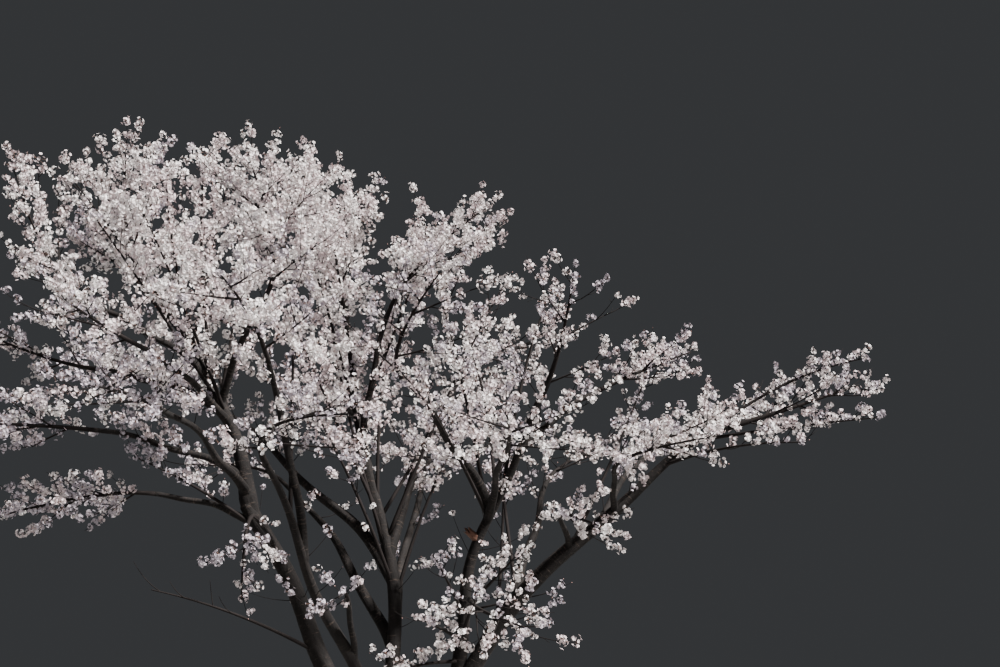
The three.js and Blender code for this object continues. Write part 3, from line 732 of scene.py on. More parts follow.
def within(shoots, masses, swell=1.0):
    """The shoots cut back to their mass's egg, swollen across its axis, without those that are
    then very short."""
    reach = np.zeros(len(shoots))
    chord = unit(shoots.tip - shoots.foot)
    for number, mass in enumerate(masses):
        own = shoots.mass == number
        space = mass.space._replace(half=mass.space.half * [1, swell, swell])
        reach[own] = room(space, shoots.foot[own], chord[own])
    length = np.linalg.norm(shoots.tip - shoots.foot, axis=1)
    share = np.clip((reach - EGG_MARGIN) / length, 0, 1)[:, None]
    bend = shoots.foot + (shoots.bend - shoots.foot) * share
    tip = shoots.foot + (shoots.tip - shoots.foot) * share
    cut = Shoots(shoots.foot, bend, tip, shoots.thick, shoots.thin, shoots.mass, shoots.spray)
    return cut.rows(length * share[:, 0] > SHORTEST_SHOOT)


def columns_of(rows):
    """Rows of values as one array for each column."""
    return [np.array(column) for column in zip(*rows)]


def leaders_of(masses):
    """The leaders as a table. Each starts as thick as its limb ends."""
    numbers = np.arange(len(masses))
    thick = [mass.limb.radius(1.0) for mass in masses]
    return Shoots(*columns_of(mass.leader for mass in masses), thick, LEADER_TIP, numbers, numbers)


def twigs_of(masses):
    """The twigs as a table, each with a seeded sag."""
    root, tip, mass = columns_of(
        (root, tip, number) for number, mass in enumerate(masses) for root, tip in mass.twigs
    )
    bend = (root + tip) / 2 + draw.normal(0, TWIG_WOOD["sag"], root.shape)
    numbers = NUMBERED_FROM["twigs"] + np.arange(len(root))
    return Shoots(root, bend, tip, TWIG_WOOD["thick"], TWIG_WOOD["thin"], mass, numbers)


def main_shoots_of(masses):
    """The shoots that run down the middle of the sprays."""
    root, heading, length, mass = columns_of(
        (spray.root, spray.heading, MAIN_SHOOT["share"] * spray.length, number)
        for number, mass in enumerate(masses) for spray in mass.sprays
    )
    numbers = NUMBERED_FROM["main"] + np.arange(len(root))
    return upturned(root, heading, length, MAIN_SHOOT, mass, numbers)


Growth = namedtuple("Growth", "leaders twigs thin_boughs bare_wood shoots side_shoots strays")


def grow_fine(masses, limbs):
    """Every shoot of the tree as tables: the leaders, the twigs, the thin boughs, the shoots that
    run down the middle of the sprays with those between them and on the limbs, the side shoots
    and the strays."""
    number_of = {mass.name: number for number, mass in enumerate(masses)}
    leaders, twigs, main = leaders_of(masses), twigs_of(masses), main_shoots_of(masses)
    wood = joined([leaders, twigs])
    fill = shoots_along(wood, FILL_SHOOT)
    in_crown = np.isin(wood.mass, [number_of[name] for name in FULL_CROWN])
    crown = shoots_along(wood.rows(in_crown), CROWN_SHOOT)
    thin_boughs, bare_wood, on_thin = grow_thin_boughs(limbs, number_of)
    fill = joined([
        thinned(within(fill, masses)), within(crown, masses, CROWN_SHOOT["swell"]),
        shoots_on_limbs(limbs, number_of), on_thin,
    ])
    fill.spray = NUMBERED_FROM["fill"] + np.arange(len(fill))
    side_shoots = joined([shoots_along(main, SIDE_ON_MAIN), shoots_along(fill, SIDE_ON_FILL)])
    shoots = joined([main, fill])
    strays = stray_shoots(limbs, number_of)
    return Growth(leaders, twigs, thin_boughs, bare_wood, shoots, side_shoots, strays)


# Meshes

# Headings that no wood or flower is likely to have, from which square ones are worked out.
GUIDES = dict(
    tube=np.array([0.31, 0.93, 0.17]), flower=np.array([0.43, 0.21, 0.88]),
    stalk=np.array([0.2, 0.9, 0.4]), bud=np.array([0.5, 0.3, 0.8]),
)
# How far the pole of a tube's tip stands ahead of its last ring, in radii.
NOSE = 1.5
# The rings and sides of the tubes of each kind of wood.
TUBES = dict(
    leaders=(14, 12), twigs=(6, 4), thin_boughs=(14, 6), shoots=(5, 3), side_shoots=(3, 3),
)


def tube_pattern(rings, sides):
    """The triangles of one closed tube: a band of two triangles a side between rings, and a fan
    at either end round its own pole. They face outward."""
    ring, side = np.meshgrid(np.arange(rings - 1), np.arange(sides), indexing="ij")
    here, there = ring * sides + side, ring * sides + (side + 1) % sides
    band = np.stack([here, there, there + sides, here, there + sides, here + sides], axis=-1)
    around = np.arange(sides)
    after = (around + 1) % sides
    first, last = rings * sides, rings * sides + 1
    end = (rings - 1) * sides
    foot = np.stack([np.full(sides, first), after, around], axis=-1)
    tip = np.stack([np.full(sides, last), around + end, after + end], axis=-1)
    return np.concatenate([band.reshape(-1, 3), foot, tip])


def carried_frames(centres):
    """The heading of each ring and a normal that is carried from ring to ring without twist."""
    forward = unit(np.gradient(centres, axis=1))
    normal = np.empty_like(forward)
    normal[:, 0] = square_to(forward[:, 0], GUIDES["tube"])
    for ring in range(1, centres.shape[1]):
        normal[:, ring] = square_to(forward[:, ring], normal[:, ring - 1])
    return forward, normal


def tubes(centres, radii, sides):
    """Tubes round rows of ring centres: centre + radius (cos(turn) normal + sin(turn) side). The
    tip's pole stands a little ahead. radii may differ from side to side."""
    count, rings = centres.shape[:2]
    forward, normal = carried_frames(centres)
    spoke = turned(normal[:, :, None], forward[:, :, None], turns(sides))
    radii = radii if radii.ndim == 3 else radii[:, :, None]
    skin = centres[:, :, None] + radii[..., None] * spoke
    nose = centres[:, -1] + forward[:, -1] * NOSE * radii[:, -1].mean(-1, keepdims=True)
    places = np.concatenate([skin.reshape(count, -1, 3), centres[:, :1], nose[:, None]], axis=1)
    pattern = tube_pattern(rings, sides)
    faces = pattern[None] + (np.arange(count) * places.shape[1])[:, None, None]
    return places.reshape(-1, 3), faces.reshape(-1, 3)


def shoot_tubes(table, rings, sides):
    """The tubes of a table of shoots, or nothing for an empty one."""
    if not len(table):
        return np.empty((0, 3)), np.empty((0, 3), int)
    shares = np.linspace(0, 1, rings)
    centres = table.at(np.broadcast_to(shares, (len(table), rings)))
    return tubes(centres, table.radius(shares[None]), sides)


def merged(parts):
    """Places and faces of several parts in one list each."""
    starts = np.cumsum([0] + [len(places) for places, _ in parts])
    return (np.concatenate([places for places, _ in parts]),
            np.concatenate([faces + start for (_, faces), start in zip(parts, starts)]))


def add_piece(name, places, faces, finishes, slot=None, nodes=(), tints=None, smooth=True):
    """A mesh object of triangles at the origin, with its finishes; given a slot, it rides on the
    tree's body.
    """
    mesh = bpy.data.meshes.new(name)
    mesh.vertices.add(len(places))
    mesh.vertices.foreach_set("co", places.astype(np.float32).ravel())
    mesh.loops.add(faces.size)
    mesh.loops.foreach_set("vertex_index", faces.astype(np.int32).ravel())
    mesh.polygons.add(len(faces))
    mesh.polygons.foreach_set("loop_start", np.arange(0, faces.size, 3, dtype=np.int32))
    mesh.polygons.foreach_set("use_smooth", np.full(len(faces), smooth))
    for finish in finishes:
        mesh.materials.append(finish)
    if tints is not None:
        mesh.polygons.foreach_set("material_index", tints.astype(np.int32))
    mesh.update(calc_edges=True)
    piece = bpy.data.objects.new(name, mesh)
    bpy.context.scene.collection.objects.link(piece)
    if slot:
        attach(piece, "root")
        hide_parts(*nodes)
    return piece


# Bark

# The relief's parts as shares of the radius, the furrows' width in metres with their least number
# and the power that sharpens them, and the share of the limb where its girth is taken.
BARK = dict(
    swell=0.05, furrow=0.028, band=0.012, furrow_width=0.045, fewest=5, sharpness=0.7, girth_at=0.3,
)
# The sides of a limb's skin and the space between its rings.
LIMB_SKIN = dict(stem=(44, 0.02), bough=(14, 0.036))
# How a limb's foot is led into its parent, in radii of the parent: how far back it starts and how
# far out its own path takes over. Then its radius there, its rings, and the collar that fades out.
GRAFT = dict(
    back=1.8, out=1.35, share=0.82, rings=12, collar=0.16, collar_reach=0.14, fewest_rings=8,
)


def bark_relief(turn, along, girth, seed):
    """How far the bark stands proud, as a share of the radius: slow swellings of two sines round
    the limb, furrows that run along it, swing from side to side and come and go, and raised
    rings across it."""
    phase = FULL_TURN * chance(seed, np.arange(8))

    def wave(times_round, pace, number):
        """sin(times turn + pace along + phase), with the pace in radians a metre. The waves'
        weights and paces are given."""
        return np.sin(times_round * turn + pace * along + phase[number])

    swell = wave(2, 1.7, 0) + 0.6 * wave(3, -2.6, 1)
    ridges = max(BARK["fewest"], round(FULL_TURN * girth / BARK["furrow_width"]))
    swing = 1.1 * wave(0, 4.3, 2) + 0.9 * wave(2, 11, 3) + 0.6 * wave(-3, 27, 6)
    depth = 0.6 + 0.4 * wave(3, 7.3, 7) * np.sin(2.9 * along - turn)
    furrow = -depth * np.abs(np.sin(0.5 * ridges * turn + swing)) ** BARK["sharpness"]
    rings = np.maximum(np.sin(46 * along + 1.3 * wave(2, 0, 4) + phase[5]), 0) ** 3
    return BARK["swell"] * swell + BARK["furrow"] * furrow + BARK["band"] * rings


def grafted(limb, step):
    """Middles and radii of a limb's rings. Its foot sets out inside its parent, a way back along
    it, and bends over to the limb as a bezier round the place where the two paths meet. The
    radius goes from a share of the parent's to the limb's own as 3t^2 - 2t^3."""
    parent_radius = float(limb.parent.radius(limb.at))
    start = max(limb.at - GRAFT["back"] * parent_radius / limb.parent.length, 0.0)
    start_radius = GRAFT["share"] * float(limb.parent.radius(start))
    joins = GRAFT["out"] * parent_radius / limb.length
    own_rings = max(GRAFT["fewest_rings"], int(limb.length / step))
    shares = np.linspace(joins, 1, own_rings)
    bent = np.linspace(0, 1, GRAFT["rings"], endpoint=False)
    foot, meeting, end = limb.parent.path(start), limb.path(0.0), limb.path(joins)
    middles = np.concatenate([bezier(foot, meeting, end, bent), limb.path(shares)])
    ease = bent ** 2 * (3 - 2 * bent)
    beyond = (shares - joins) * limb.length
    collar = 1 + GRAFT["collar"] * np.exp(-beyond / GRAFT["collar_reach"])
    own = limb.radius(shares) * collar
    return middles, np.concatenate([start_radius + (own[0] - start_radius) * ease, own])


def limb_skin(limb, sides, step, seed):
    """A limb's tube with the bark's relief."""
    middles, radius = grafted(limb, step)
    steps = np.linalg.norm(np.diff(middles, axis=0), axis=1)
    along = np.concatenate([[0], np.cumsum(steps)])
    turn = turns(sides)
    relief = bark_relief(turn[None], along[:, None], limb.radius(BARK["girth_at"]), seed)
    places, faces = tubes(middles[None], (radius[:, None] * (1 + relief))[None], sides)
    return places, faces, bark_places(turn, along, radius)


def bark_places(turn, along, radius):
    """Where each vertex lies on the straightened limb, so that the grain follows the limb and has
    no seam: (radius cos(turn), radius sin(turn), along), then the two poles."""
    across, over, along_limb = np.broadcast_arrays(
        radius[:, None] * np.cos(turn), radius[:, None] * np.sin(turn), along[:, None]
    )
    flat = np.stack([across, over, along_limb], axis=-1)
    poles = np.array([[0, 0, along[0]], [0, 0, along[-1]]])
    return np.concatenate([flat.reshape(-1, 3), poles])


# The trunk's skin goes on above the fork as a cone that closes at the height `top`, with a lobe
# toward each stem. share is the part of a stem's reach that its lobe has at the top, and `falls`
# the power by which it gets there. A lobe sets in over the height `fade` from `start` on, and the
# cone closes over the share `closing` of its height. `out` and `least_distance` are in radii of the
# stem. The stems are followed to half their length.
CROTCH = dict(
    start=0.34, top=1.1, blend=5, share=0.62, falls=1.5, width=0.62, least_distance=0.2, out=1.04,
    fade=0.2, closing=0.2, shrink=0.999, followed=0.5, places=120,
)
TRUNK_SKIN = dict(sides=168, rings=150, seed=77, relief=1.1, tip=0.002, grain=0.02)


def stem_lobes(trunk_stems, middle, turn):
    """The reach of each stem from the trunk's middle at each ring's height, as a lobe round its
    heading: (distance + radius) exp(-(angle / width)^2), where width is the angle that the stem's
    radius is seen under."""
    lobes = []
    height = middle[:, 2]
    rise = np.clip((height - TRUNK["height"]) / (CROTCH["top"] - TRUNK["height"]), 0, 1)
    started = np.clip((height - CROTCH["start"]) / CROTCH["fade"], 0, 1)
    for stem in trunk_stems:
        shares = np.linspace(0, CROTCH["followed"], CROTCH["places"])
        path, radius = stem.path(shares), stem.radius(shares)
        x, y, thick = (
            np.interp(height, path[:, 2], row) for row in (path[:, 0], path[:, 1], radius)
        )
        x, y = x - middle[:, 0], y - middle[:, 1]
        distance = np.hypot(x, y)
        seen = np.arctan2(thick, np.maximum(distance, CROTCH["least_distance"] * thick))
        width = seen * (1 + CROTCH["width"])
        apart = (turn[None] - np.arctan2(y, x)[:, None] + np.pi) % FULL_TURN - np.pi
        falling = 1 - (1 - CROTCH["share"]) * rise ** CROTCH["falls"]
        reach = (distance + CROTCH["out"] * thick) * falling
        lobes.append((reach * started)[:, None] * np.exp(-(apart / width[:, None]) ** 2))
    return np.array(lobes)


def trunk_skin(trunk, trunk_stems):
    """The trunk's level rings from the flat cut to the closed top of the crotch. Root ridges fade
    out upward as exp(-fade t). Above the fork the trunk's own radius falls as the square root of
    1 - rise^2, and it is joined to the stems' lobes by the root of the sum of their powers."""
    look = TRUNK_SKIN
    height = np.linspace(0, CROTCH["top"], look["rings"])
    shares = np.minimum(height / TRUNK["height"], 1)
    middle = trunk.path(shares)
    middle[:, 2] = height
    turn = turns(look["sides"])
    rise = np.clip((height - CROTCH["start"]) / (CROTCH["top"] - CROTCH["start"]), 0, 1)
    own = trunk.radius(shares) * np.sqrt(1 - CROTCH["shrink"] * rise ** 2)
    power = CROTCH["blend"]
    lobes = stem_lobes(trunk_stems, middle, turn)
    round_all = (own[:, None] ** power + (lobes ** power).sum(0)) ** (1 / power)
    closing = np.sqrt(np.clip((1 - height / CROTCH["top"]) / CROTCH["closing"], 0, 1))[:, None]
    fading = TRUNK["ridge_depth"] * np.exp(-TRUNK["ridge_fade"] * shares)[:, None]
    ridge = fading * np.cos(TRUNK["root_ridges"] * turn + TRUNK["ridge_turn"])
    relief = bark_relief(turn[None], height[:, None], TRUNK["waist"], look["seed"])
    radius = round_all * closing * (1 + ridge + relief * look["relief"])
    skin = middle[:, None] + radius[..., None] * on_circle(turn)
    poles = [[[0, 0, 0]], middle[-1:] + look["tip"] * UP]
    places = np.concatenate([skin.reshape(-1, 3), *poles])
    faces = tube_pattern(look["rings"], look["sides"])
    return places, faces, bark_places(turn, height, own + look["grain"])


# The torn stub. Its length runs from a share of the whole by a further share on the splinters, its
# girth shrinks from foot to end with a swell of five waves, and the heart lies inside the end.
STUB = dict(
    limb="stem_middle", height=3.1, heading=215, climb=35, radius=0.036, length=0.15, splinters=7,
    sides=28, rings=12, searched=200, shortest=0.75, longer=0.45, girth=1.25, shrinks=0.35,
    swell=0.08, heart=0.55,
)


def broken_stub(limb):
    """The stump of a torn bough: a tube along its heading whose end is splintered, as its length
    swings round it with a sharp wave."""
    path = limb.path(np.linspace(0, 1, STUB["searched"]))
    foot = path[np.argmin(np.abs(path[:, 2] - STUB["height"]))]
    forward = direction(STUB["heading"], STUB["climb"])
    across = square_to(forward, UP)
    turn = turns(STUB["sides"])
    rings = np.linspace(0, 1, STUB["rings"])[:, None]
    wave = np.abs(np.sin(0.5 * STUB["splinters"] * turn + np.sin(2 * turn)))
    along = rings * (STUB["length"] * (STUB["shortest"] + STUB["longer"] * wave))
    swell = STUB["swell"] * np.sin(5 * turn + 3 * rings)
    girth = STUB["radius"] * (STUB["girth"] - STUB["shrinks"] * rings + swell)
    skin = foot + along[..., None] * forward + girth[..., None] * turned(across, forward, turn)
    heart = foot + forward * STUB["length"] * STUB["heart"]
    places = np.concatenate([skin.reshape(-1, 3), [foot], [heart]])
    return places, tube_pattern(STUB["rings"], STUB["sides"])


# Blossom

# radius in metres, the angle of half a petal in degrees, the cup and the crease as shares, and how
# far a flower's facing swings from the middle of its cluster.
FLOWER = dict(radius=(0.0155, 0.0205), petals=5, lobe=31, cup=(0.2, 0.62), crease=0.3, tilt=0.2)
# A petal's rim, as points with a share of the flower's radius and a share of half the petal's angle.
ROUND_RIM = ((0.8, -1), (1, -0.42), (0.89, 0), (1, 0.42), (0.8, 1))
NOTCHED_RIM = ((0.94, -0.85), (0.86, 0), (0.94, 0.85))
PLAIN_RIM = ((0.96, -0.8), (0.96, 0.8))
# The rim of a flower's petals goes by how far it stands out in its cluster, as a share of the radius.
RIMS = [PLAIN_RIM, NOTCHED_RIM, ROUND_RIM]
RIMS_FROM = (0.78, 0.94)
STAMENS = dict(count=5, reach=0.42, width=0.09, lift=0.3)
# A cluster's ball is larger at its shoot's foot and tapers toward the tip. Of the flowers' number,
# size_range says which balls have the fewest and the most. depth is where a flower stands in it.
CLUSTER = dict(
    ball=(0.04, 0.065), at_foot=1.08, taper=0.25, stray=0.011, rise=0.01, jitter=(-0.3, 0.3),
    flowers=(8, 15), fewest=5, size_range=(0.8, 1.08), count_jitter=(-0.8, 0.8), scatter=0.26,
    stretch=(0.62, 1.3), depth=(0.3, 1.18),
)
# The clusters on each kind of wood: a spacing, and the shares between which they stand.
CLUSTERS_ON = dict(
    shoots=(0.11, (0.16, 1.0)), strays=(0.5, (0.85, 1.0)), side_shoots=(0.16, (0.4, 1.0)),
    twigs=(0.16, (0.2, 1.0)), leaders=(0.2, (0.2, 1.0)), thin_boughs=(0.11, (0.5, 1.0)),
)
# How the bare inner part of a loose mass's shoots swings round its mean length, and the number of
# clusters from which on a shoot bears them in a run.
RUN_SWING = (0.5, 1.5)
RUN_OF = 3
STALK_WIDTH = 0.004
BUD = dict(length=(0.011, 0.017), radius=0.0042, widest=0.4, share=0.25, scatter=0.25)
# The shares of the petal finishes (white, shell, lilac grey, bright) among the sprays: in the crown,
# where more light falls, in the lower left, that lies in shade, and elsewhere. The lilac grey finish
# is painted shade and the bright one painted light. The crown gets more painted light and the lower
# left more painted shade. Elsewhere both are mixed in at random.
TINT_SHARES = dict(
    usual=(0.42, 0.22, 0.24, 0.12), crown=(0.3, 0.3, 0.04, 0.36), shade=(0.2, 0.24, 0.52, 0.04),
)
# The share of clusters that have a tint of their own and not their spray's.
OWN_TINT = 0.25
# The masses dealt the shares with more painted light, by the start of their names, then those dealt
# the shares with more painted shade.
IN_LIGHT = ("crown",)
IN_SHADE = (
    "lower_left", "lower_front_left", "lower_back_left", "lower_front", "lower_back", "low_left",
    "upper_back_left", "hanging_left", "hanging_front",
)

Clusters = namedtuple("Clusters", "middle ball mass spray")
Flowers = namedtuple("Flowers", "throat facing spin radius cup cluster rim")


def picked(flowers, chosen):
    """The chosen rows of the flowers."""
    return Flowers(*(column[chosen] for column in flowers))


def flower_pattern(rim):
    """One flower of five petals round its throat, as places in its own axes (x and y across it as
    shares of its radius, z as shares of its cup). A petal is a fan from the throat to its rim,
    and its middle lies lower than its edges."""
    reach, aside = np.array(rim).T
    petals = FLOWER["petals"]
    turn = turns(petals)[:, None] + math.radians(FLOWER["lobe"]) * aside
    height = np.broadcast_to(1 - FLOWER["crease"] * (1 - np.abs(aside)), turn.shape)
    corners = np.stack([reach * np.cos(turn), reach * np.sin(turn), height], axis=-1)
    places = np.concatenate([[[0, 0, 0]], corners.reshape(-1, 3)])
    first = 1 + len(rim) * np.arange(petals)
    faces = [np.stack([np.zeros(petals, int), first + step, first + step + 1], axis=-1)
             for step in range(len(rim) - 1)]
    return places, np.concatenate(faces)


def stamen_pattern():
    """The stamens of one flower: slender triangles from its throat, turned evenly round it, as
    places in its own axes, all in shares of its radius."""
    turn = FULL_TURN * (np.arange(STAMENS["count"]) + 0.5)[:, None] / STAMENS["count"]
    aside = np.array([-0.5, 0.5, 0]) * STAMENS["width"]
    out = np.array([0, 0, STAMENS["reach"]])
    height = np.broadcast_to([0, 0, STAMENS["lift"]], (STAMENS["count"], 3))
    x = out * np.cos(turn) - aside * np.sin(turn)
    y = out * np.sin(turn) + aside * np.cos(turn)
    places = np.stack([x, y, height], axis=-1).reshape(-1, 3)
    return places, np.arange(len(places)).reshape(-1, 3)


def cluster_places(shoots, spacing, span):
    """Clusters along shoots: a spacing apart between two shares of the length, moved a little off
    the shoot, smaller toward its tip. In a loose mass a shoot bears its clusters in one run at its
    outer end, that takes up the mass's share of its length, and a seeded choice of the short
    shoots bear none."""
    rows, shares, counts = stations(shoots, spacing, span, 0.5, CLUSTER["jitter"])
    middle = shoots.rows(rows).at(shares[:, None])[:, 0]
    middle = middle + draw.normal(0, CLUSTER["stray"], middle.shape) + UP * CLUSTER["rise"]
    ball = between(CLUSTER["ball"], len(rows)) * (CLUSTER["at_foot"] - CLUSTER["taper"] * shares)
    ball = ball * CLUSTER_SIZES[shoots.mass[rows]]
    share = CLUSTERS_KEPT[shoots.mass]
    bare = (1 - share) * between(RUN_SWING, len(shoots))
    outer = (shares - span[0]) / (span[1] - span[0]) >= bare[rows]
    chosen = (draw.random(len(shoots)) < share)[rows]
    kept = np.where(counts[rows] >= RUN_OF, outer, chosen)
    return Clusters(middle[kept], ball[kept], shoots.mass[rows][kept], shoots.spray[rows][kept])


def clusters_of(growth):
    """The clusters on every kind of wood as one table."""
    tables = [cluster_places(getattr(growth, wood), *rule) for wood, rule in CLUSTERS_ON.items()]
    return Clusters(*(np.concatenate(column) for column in zip(*tables)))


def flowers_of(clusters):
    """Flowers round the middles of clusters, spread on a ball by the golden angle and jittered,
    each facing outward, in rows of throat, facing, spin, radius, cup, the cluster's row, and the
    number of the rim, by how far the flower stands out."""
    middle, ball = clusters.middle, clusters.ball
    low, high = CLUSTER["flowers"]
    smallest, largest = np.array(CLUSTER["ball"]) * CLUSTER["size_range"]
    size = (ball - smallest) / (largest - smallest)
    wanted = low + (high - low + 1) * size + between(CLUSTER["count_jitter"], len(ball))
    counts = np.clip(wanted.astype(int), CLUSTER["fewest"], high + 1)
    rows, order = dealt_out(counts)
    height = 1 - (2 * order + 1) / counts[rows]
    turn = math.radians(GOLDEN_ANGLE) * order + between((0, FULL_TURN), len(ball))[rows]
    level = np.sqrt(1 - height ** 2)
    facing = np.stack([level * np.cos(turn), level * np.sin(turn), height], axis=-1)
    facing = unit(facing + draw.normal(0, CLUSTER["scatter"], facing.shape))
    depth = between(CLUSTER["depth"], len(rows))
    stretch = between(CLUSTER["stretch"], (len(ball), 3))[rows]
    throat = middle[rows] + facing * stretch * (ball[rows] * depth)[:, None]
    facing = unit(facing + draw.normal(0, FLOWER["tilt"], facing.shape))
    spin = between((0, FULL_TURN), len(rows))
    radius = between(FLOWER["radius"], len(rows))
    cup = radius * between(FLOWER["cup"], len(rows))
    return Flowers(throat, facing, spin, radius, cup, rows, np.digitize(depth, RIMS_FROM))


def set_on_flowers(pattern, flowers, depth):
    """A pattern repeated on every flower: scaled across it by its radius and along its facing by
    a depth, in axes square to its facing, turned by its spin."""
    places, faces = pattern
    facing, radius = flowers.facing, flowers.radius[:, None]
    across = turned(square_to(facing, GUIDES["flower"]), facing, flowers.spin)
    over = np.cross(facing, across)
    axes = np.stack([across * radius, over * radius, facing * depth[:, None]], axis=1)
    moved = flowers.throat[:, None] + np.einsum("pk,nkc->npc", places, axes)
    starts = (np.arange(len(radius)) * len(places))[:, None, None]
    return moved.reshape(-1, 3), (faces[None] + starts).reshape(-1, 3)


def stalks(middle, flowers):
    """One slender triangle for each flower, from its spur to its throat, as wide there as the
    calyx: (middle, throat + width across, throat - width across)."""
    throat = flowers.throat
    across = square_to(flowers.facing, GUIDES["stalk"]) * STALK_WIDTH / 2
    places = np.stack([middle, throat + across, throat - across], axis=1)
    return places.reshape(-1, 3), np.arange(3 * len(throat)).reshape(-1, 3)


def buds(shoots):
    """A spindle of six triangles at the tip of each shoot: its foot, a three-sided waist at the
    share `widest` of its length and its tip."""
    shares = np.ones((len(shoots), 1))
    places = shoots.at(shares).reshape(-1, 3)
    swing = draw.normal(0, BUD["scatter"], (len(places), 3))
    forward = unit(shoots.heading(shares).reshape(-1, 3) + swing)
    length = between(BUD["length"], len(places))[:, None]
    across = square_to(forward, GUIDES["bud"])
    girth = places + forward * length * BUD["widest"]
    waist = [girth + turned(across, forward, turn) * BUD["radius"] for turn in turns(3)]
    corners = np.stack([places, *waist, places + forward * length], axis=1)
    pattern = np.array([(0, 2, 1), (0, 3, 2), (0, 1, 3), (4, 1, 2), (4, 2, 3), (4, 3, 1)])
    faces = pattern[None] + (corners.shape[1] * np.arange(len(places)))[:, None, None]
    return corners.reshape(-1, 3), faces.reshape(-1, 3)


def tint_kind(name):
    """Which of the three shares of tints a mass is dealt: more painted light in the crown, more
    painted shade in the masses that lie in shade.
    """
    if name.startswith(IN_LIGHT):
        return "crown"
    return "shade" if name in IN_SHADE else "usual"


def dealt_tints(clusters, masses):
    """A petal finish for each cluster, with painted light and painted shade among them: that of its
    spray, or for a quarter of them its own.
    """
    count = len(clusters.ball)
    shares = [TINT_SHARES[tint_kind(mass.name)] for mass in masses]
    cumulated = np.cumsum(shares, axis=1)[clusters.mass]
    by_spray = draw.random(clusters.spray.max() + 1)[clusters.spray]
    by_cluster = draw.random(count)
    chance_of_each = np.where(draw.random(count) < OWN_TINT, by_cluster, by_spray)
    return (chance_of_each[:, None] > cumulated[:, :-1]).sum(axis=1)


# Finishes

def plain_finish(name, colour, roughness, **values):
    """A finish of one base colour."""
    finish = bpy.data.materials.new(name)
    finish.use_nodes = True
    shader = finish.node_tree.nodes["Principled BSDF"]
    shader.inputs["Base Color"].default_value = (*colour, 1)
    shader.inputs["Roughness"].default_value = roughness
    for key, value in values.items():
        shader.inputs[key].default_value = value
    return finish


def bark_finish(name="cherry_bark"):
    """Dark grey-brown bark on the straightened limb's places: slow patches, fine grain, pale
    corky dashes that run round the limb, and a bump of the same grain."""
    finish = plain_finish(name, (0.05, 0.04, 0.035), 0.85, **{"Specular IOR Level": 0.2})
    tree = finish.node_tree
    nodes, links = tree.nodes, tree.links
    shader = nodes["Principled BSDF"]
    place = nodes.new("ShaderNodeAttribute")
    place.attribute_name = "bark_place"

    def noise(scale, detail, stretch=(1, 1, 1), roughness=0.6):
        """Noise on the straightened limb, finer along an axis by its stretch."""
        mapping = nodes.new("ShaderNodeMapping")
        mapping.inputs["Scale"].default_value = stretch
        links.new(place.outputs["Vector"], mapping.inputs["Vector"])
        texture = nodes.new("ShaderNodeTexNoise")
        texture.inputs["Scale"].default_value = scale
        texture.inputs["Detail"].default_value = detail
        texture.inputs["Roughness"].default_value = roughness
        links.new(mapping.outputs["Vector"], texture.inputs["Vector"])
        return texture.outputs["Fac"]

    def ramp(value, stops):
        """A value turned into a colour by stops of a position and a colour."""
        made = nodes.new("ShaderNodeValToRGB")
        band = made.color_ramp
        while len(band.elements) < len(stops):
            band.elements.new(0.5)
        for element, (position, colour) in zip(band.elements, stops):
            element.position = position
            element.color = (*colour, 1)
        links.new(value, made.inputs["Fac"])
        return made.outputs["Color"]

    def mix(share, first, second, kind="MIX"):
        """Two colours mixed by a share. Each of the three is an output or a constant."""
        made = nodes.new("ShaderNodeMix")
        made.data_type = "RGBA"
        made.blend_type = kind
        for key, value in (("Factor", share), ("A", first), ("B", second)):
            socket = made.inputs[key]
            if isinstance(value, bpy.types.NodeSocket):
                links.new(value, socket)
            else:
                socket.default_value = value
        return made.outputs["Result"]

    def grey(level):
        """A grey of one level."""
        return (level, level, level)

    patches = ramp(noise(2.6, 5), [
        (0.3, (0.005, 0.004, 0.004)), (0.52, (0.0095, 0.0078, 0.0074)),
        (0.75, (0.021, 0.0175, 0.0165)),
    ])
    grain = ramp(noise(16, 8, (1, 1, 0.35)), [(0.32, grey(0.35)), (0.7, grey(1.25))])
    coloured = mix(0.75, patches, grain, "MULTIPLY")
    dashes = ramp(noise(9, 3, (1, 1, 9)), [(0.6, grey(0)), (0.67, grey(1))])
    corky = mix(dashes, coloured, (0.04, 0.03, 0.025, 1))
    links.new(corky, shader.inputs["Base Color"])
    rough = nodes.new("ShaderNodeMapRange")
    rough.inputs["To Min"].default_value = 0.7
    rough.inputs["To Max"].default_value = 0.98
    links.new(noise(30, 4), rough.inputs["Value"])
    links.new(rough.outputs["Result"], shader.inputs["Roughness"])
    cracks = ramp(noise(22, 9, (1, 1, 0.4), 0.7), [(0.3, grey(0)), (0.75, grey(1))])
    raised = mix(dashes, cracks, (1, 1, 1, 1))
    bump = nodes.new("ShaderNodeBump")
    bump.inputs["Strength"].default_value = 0.7
    bump.inputs["Distance"].default_value = 0.008
    links.new(raised, bump.inputs["Height"])
    links.new(bump.outputs["Normal"], shader.inputs["Normal"])
    return finish


BARK_FINISH = bark_finish()
TWIG_FINISH = plain_finish("twig_bark", (0.0108, 0.0085, 0.0082), 0.9, **{"Specular IOR Level": 0.15})
STALK_FINISH = plain_finish("stalk", (0.2, 0.1, 0.07), 0.6)
BUD_FINISH = plain_finish("bud", (0.36, 0.2, 0.18), 0.5)
STAMEN_FINISH = plain_finish("stamen", (0.5, 0.27, 0.22), 0.6)
HEARTWOOD_FINISH = plain_finish("torn_heartwood", (0.1, 0.045, 0.028), 0.85)
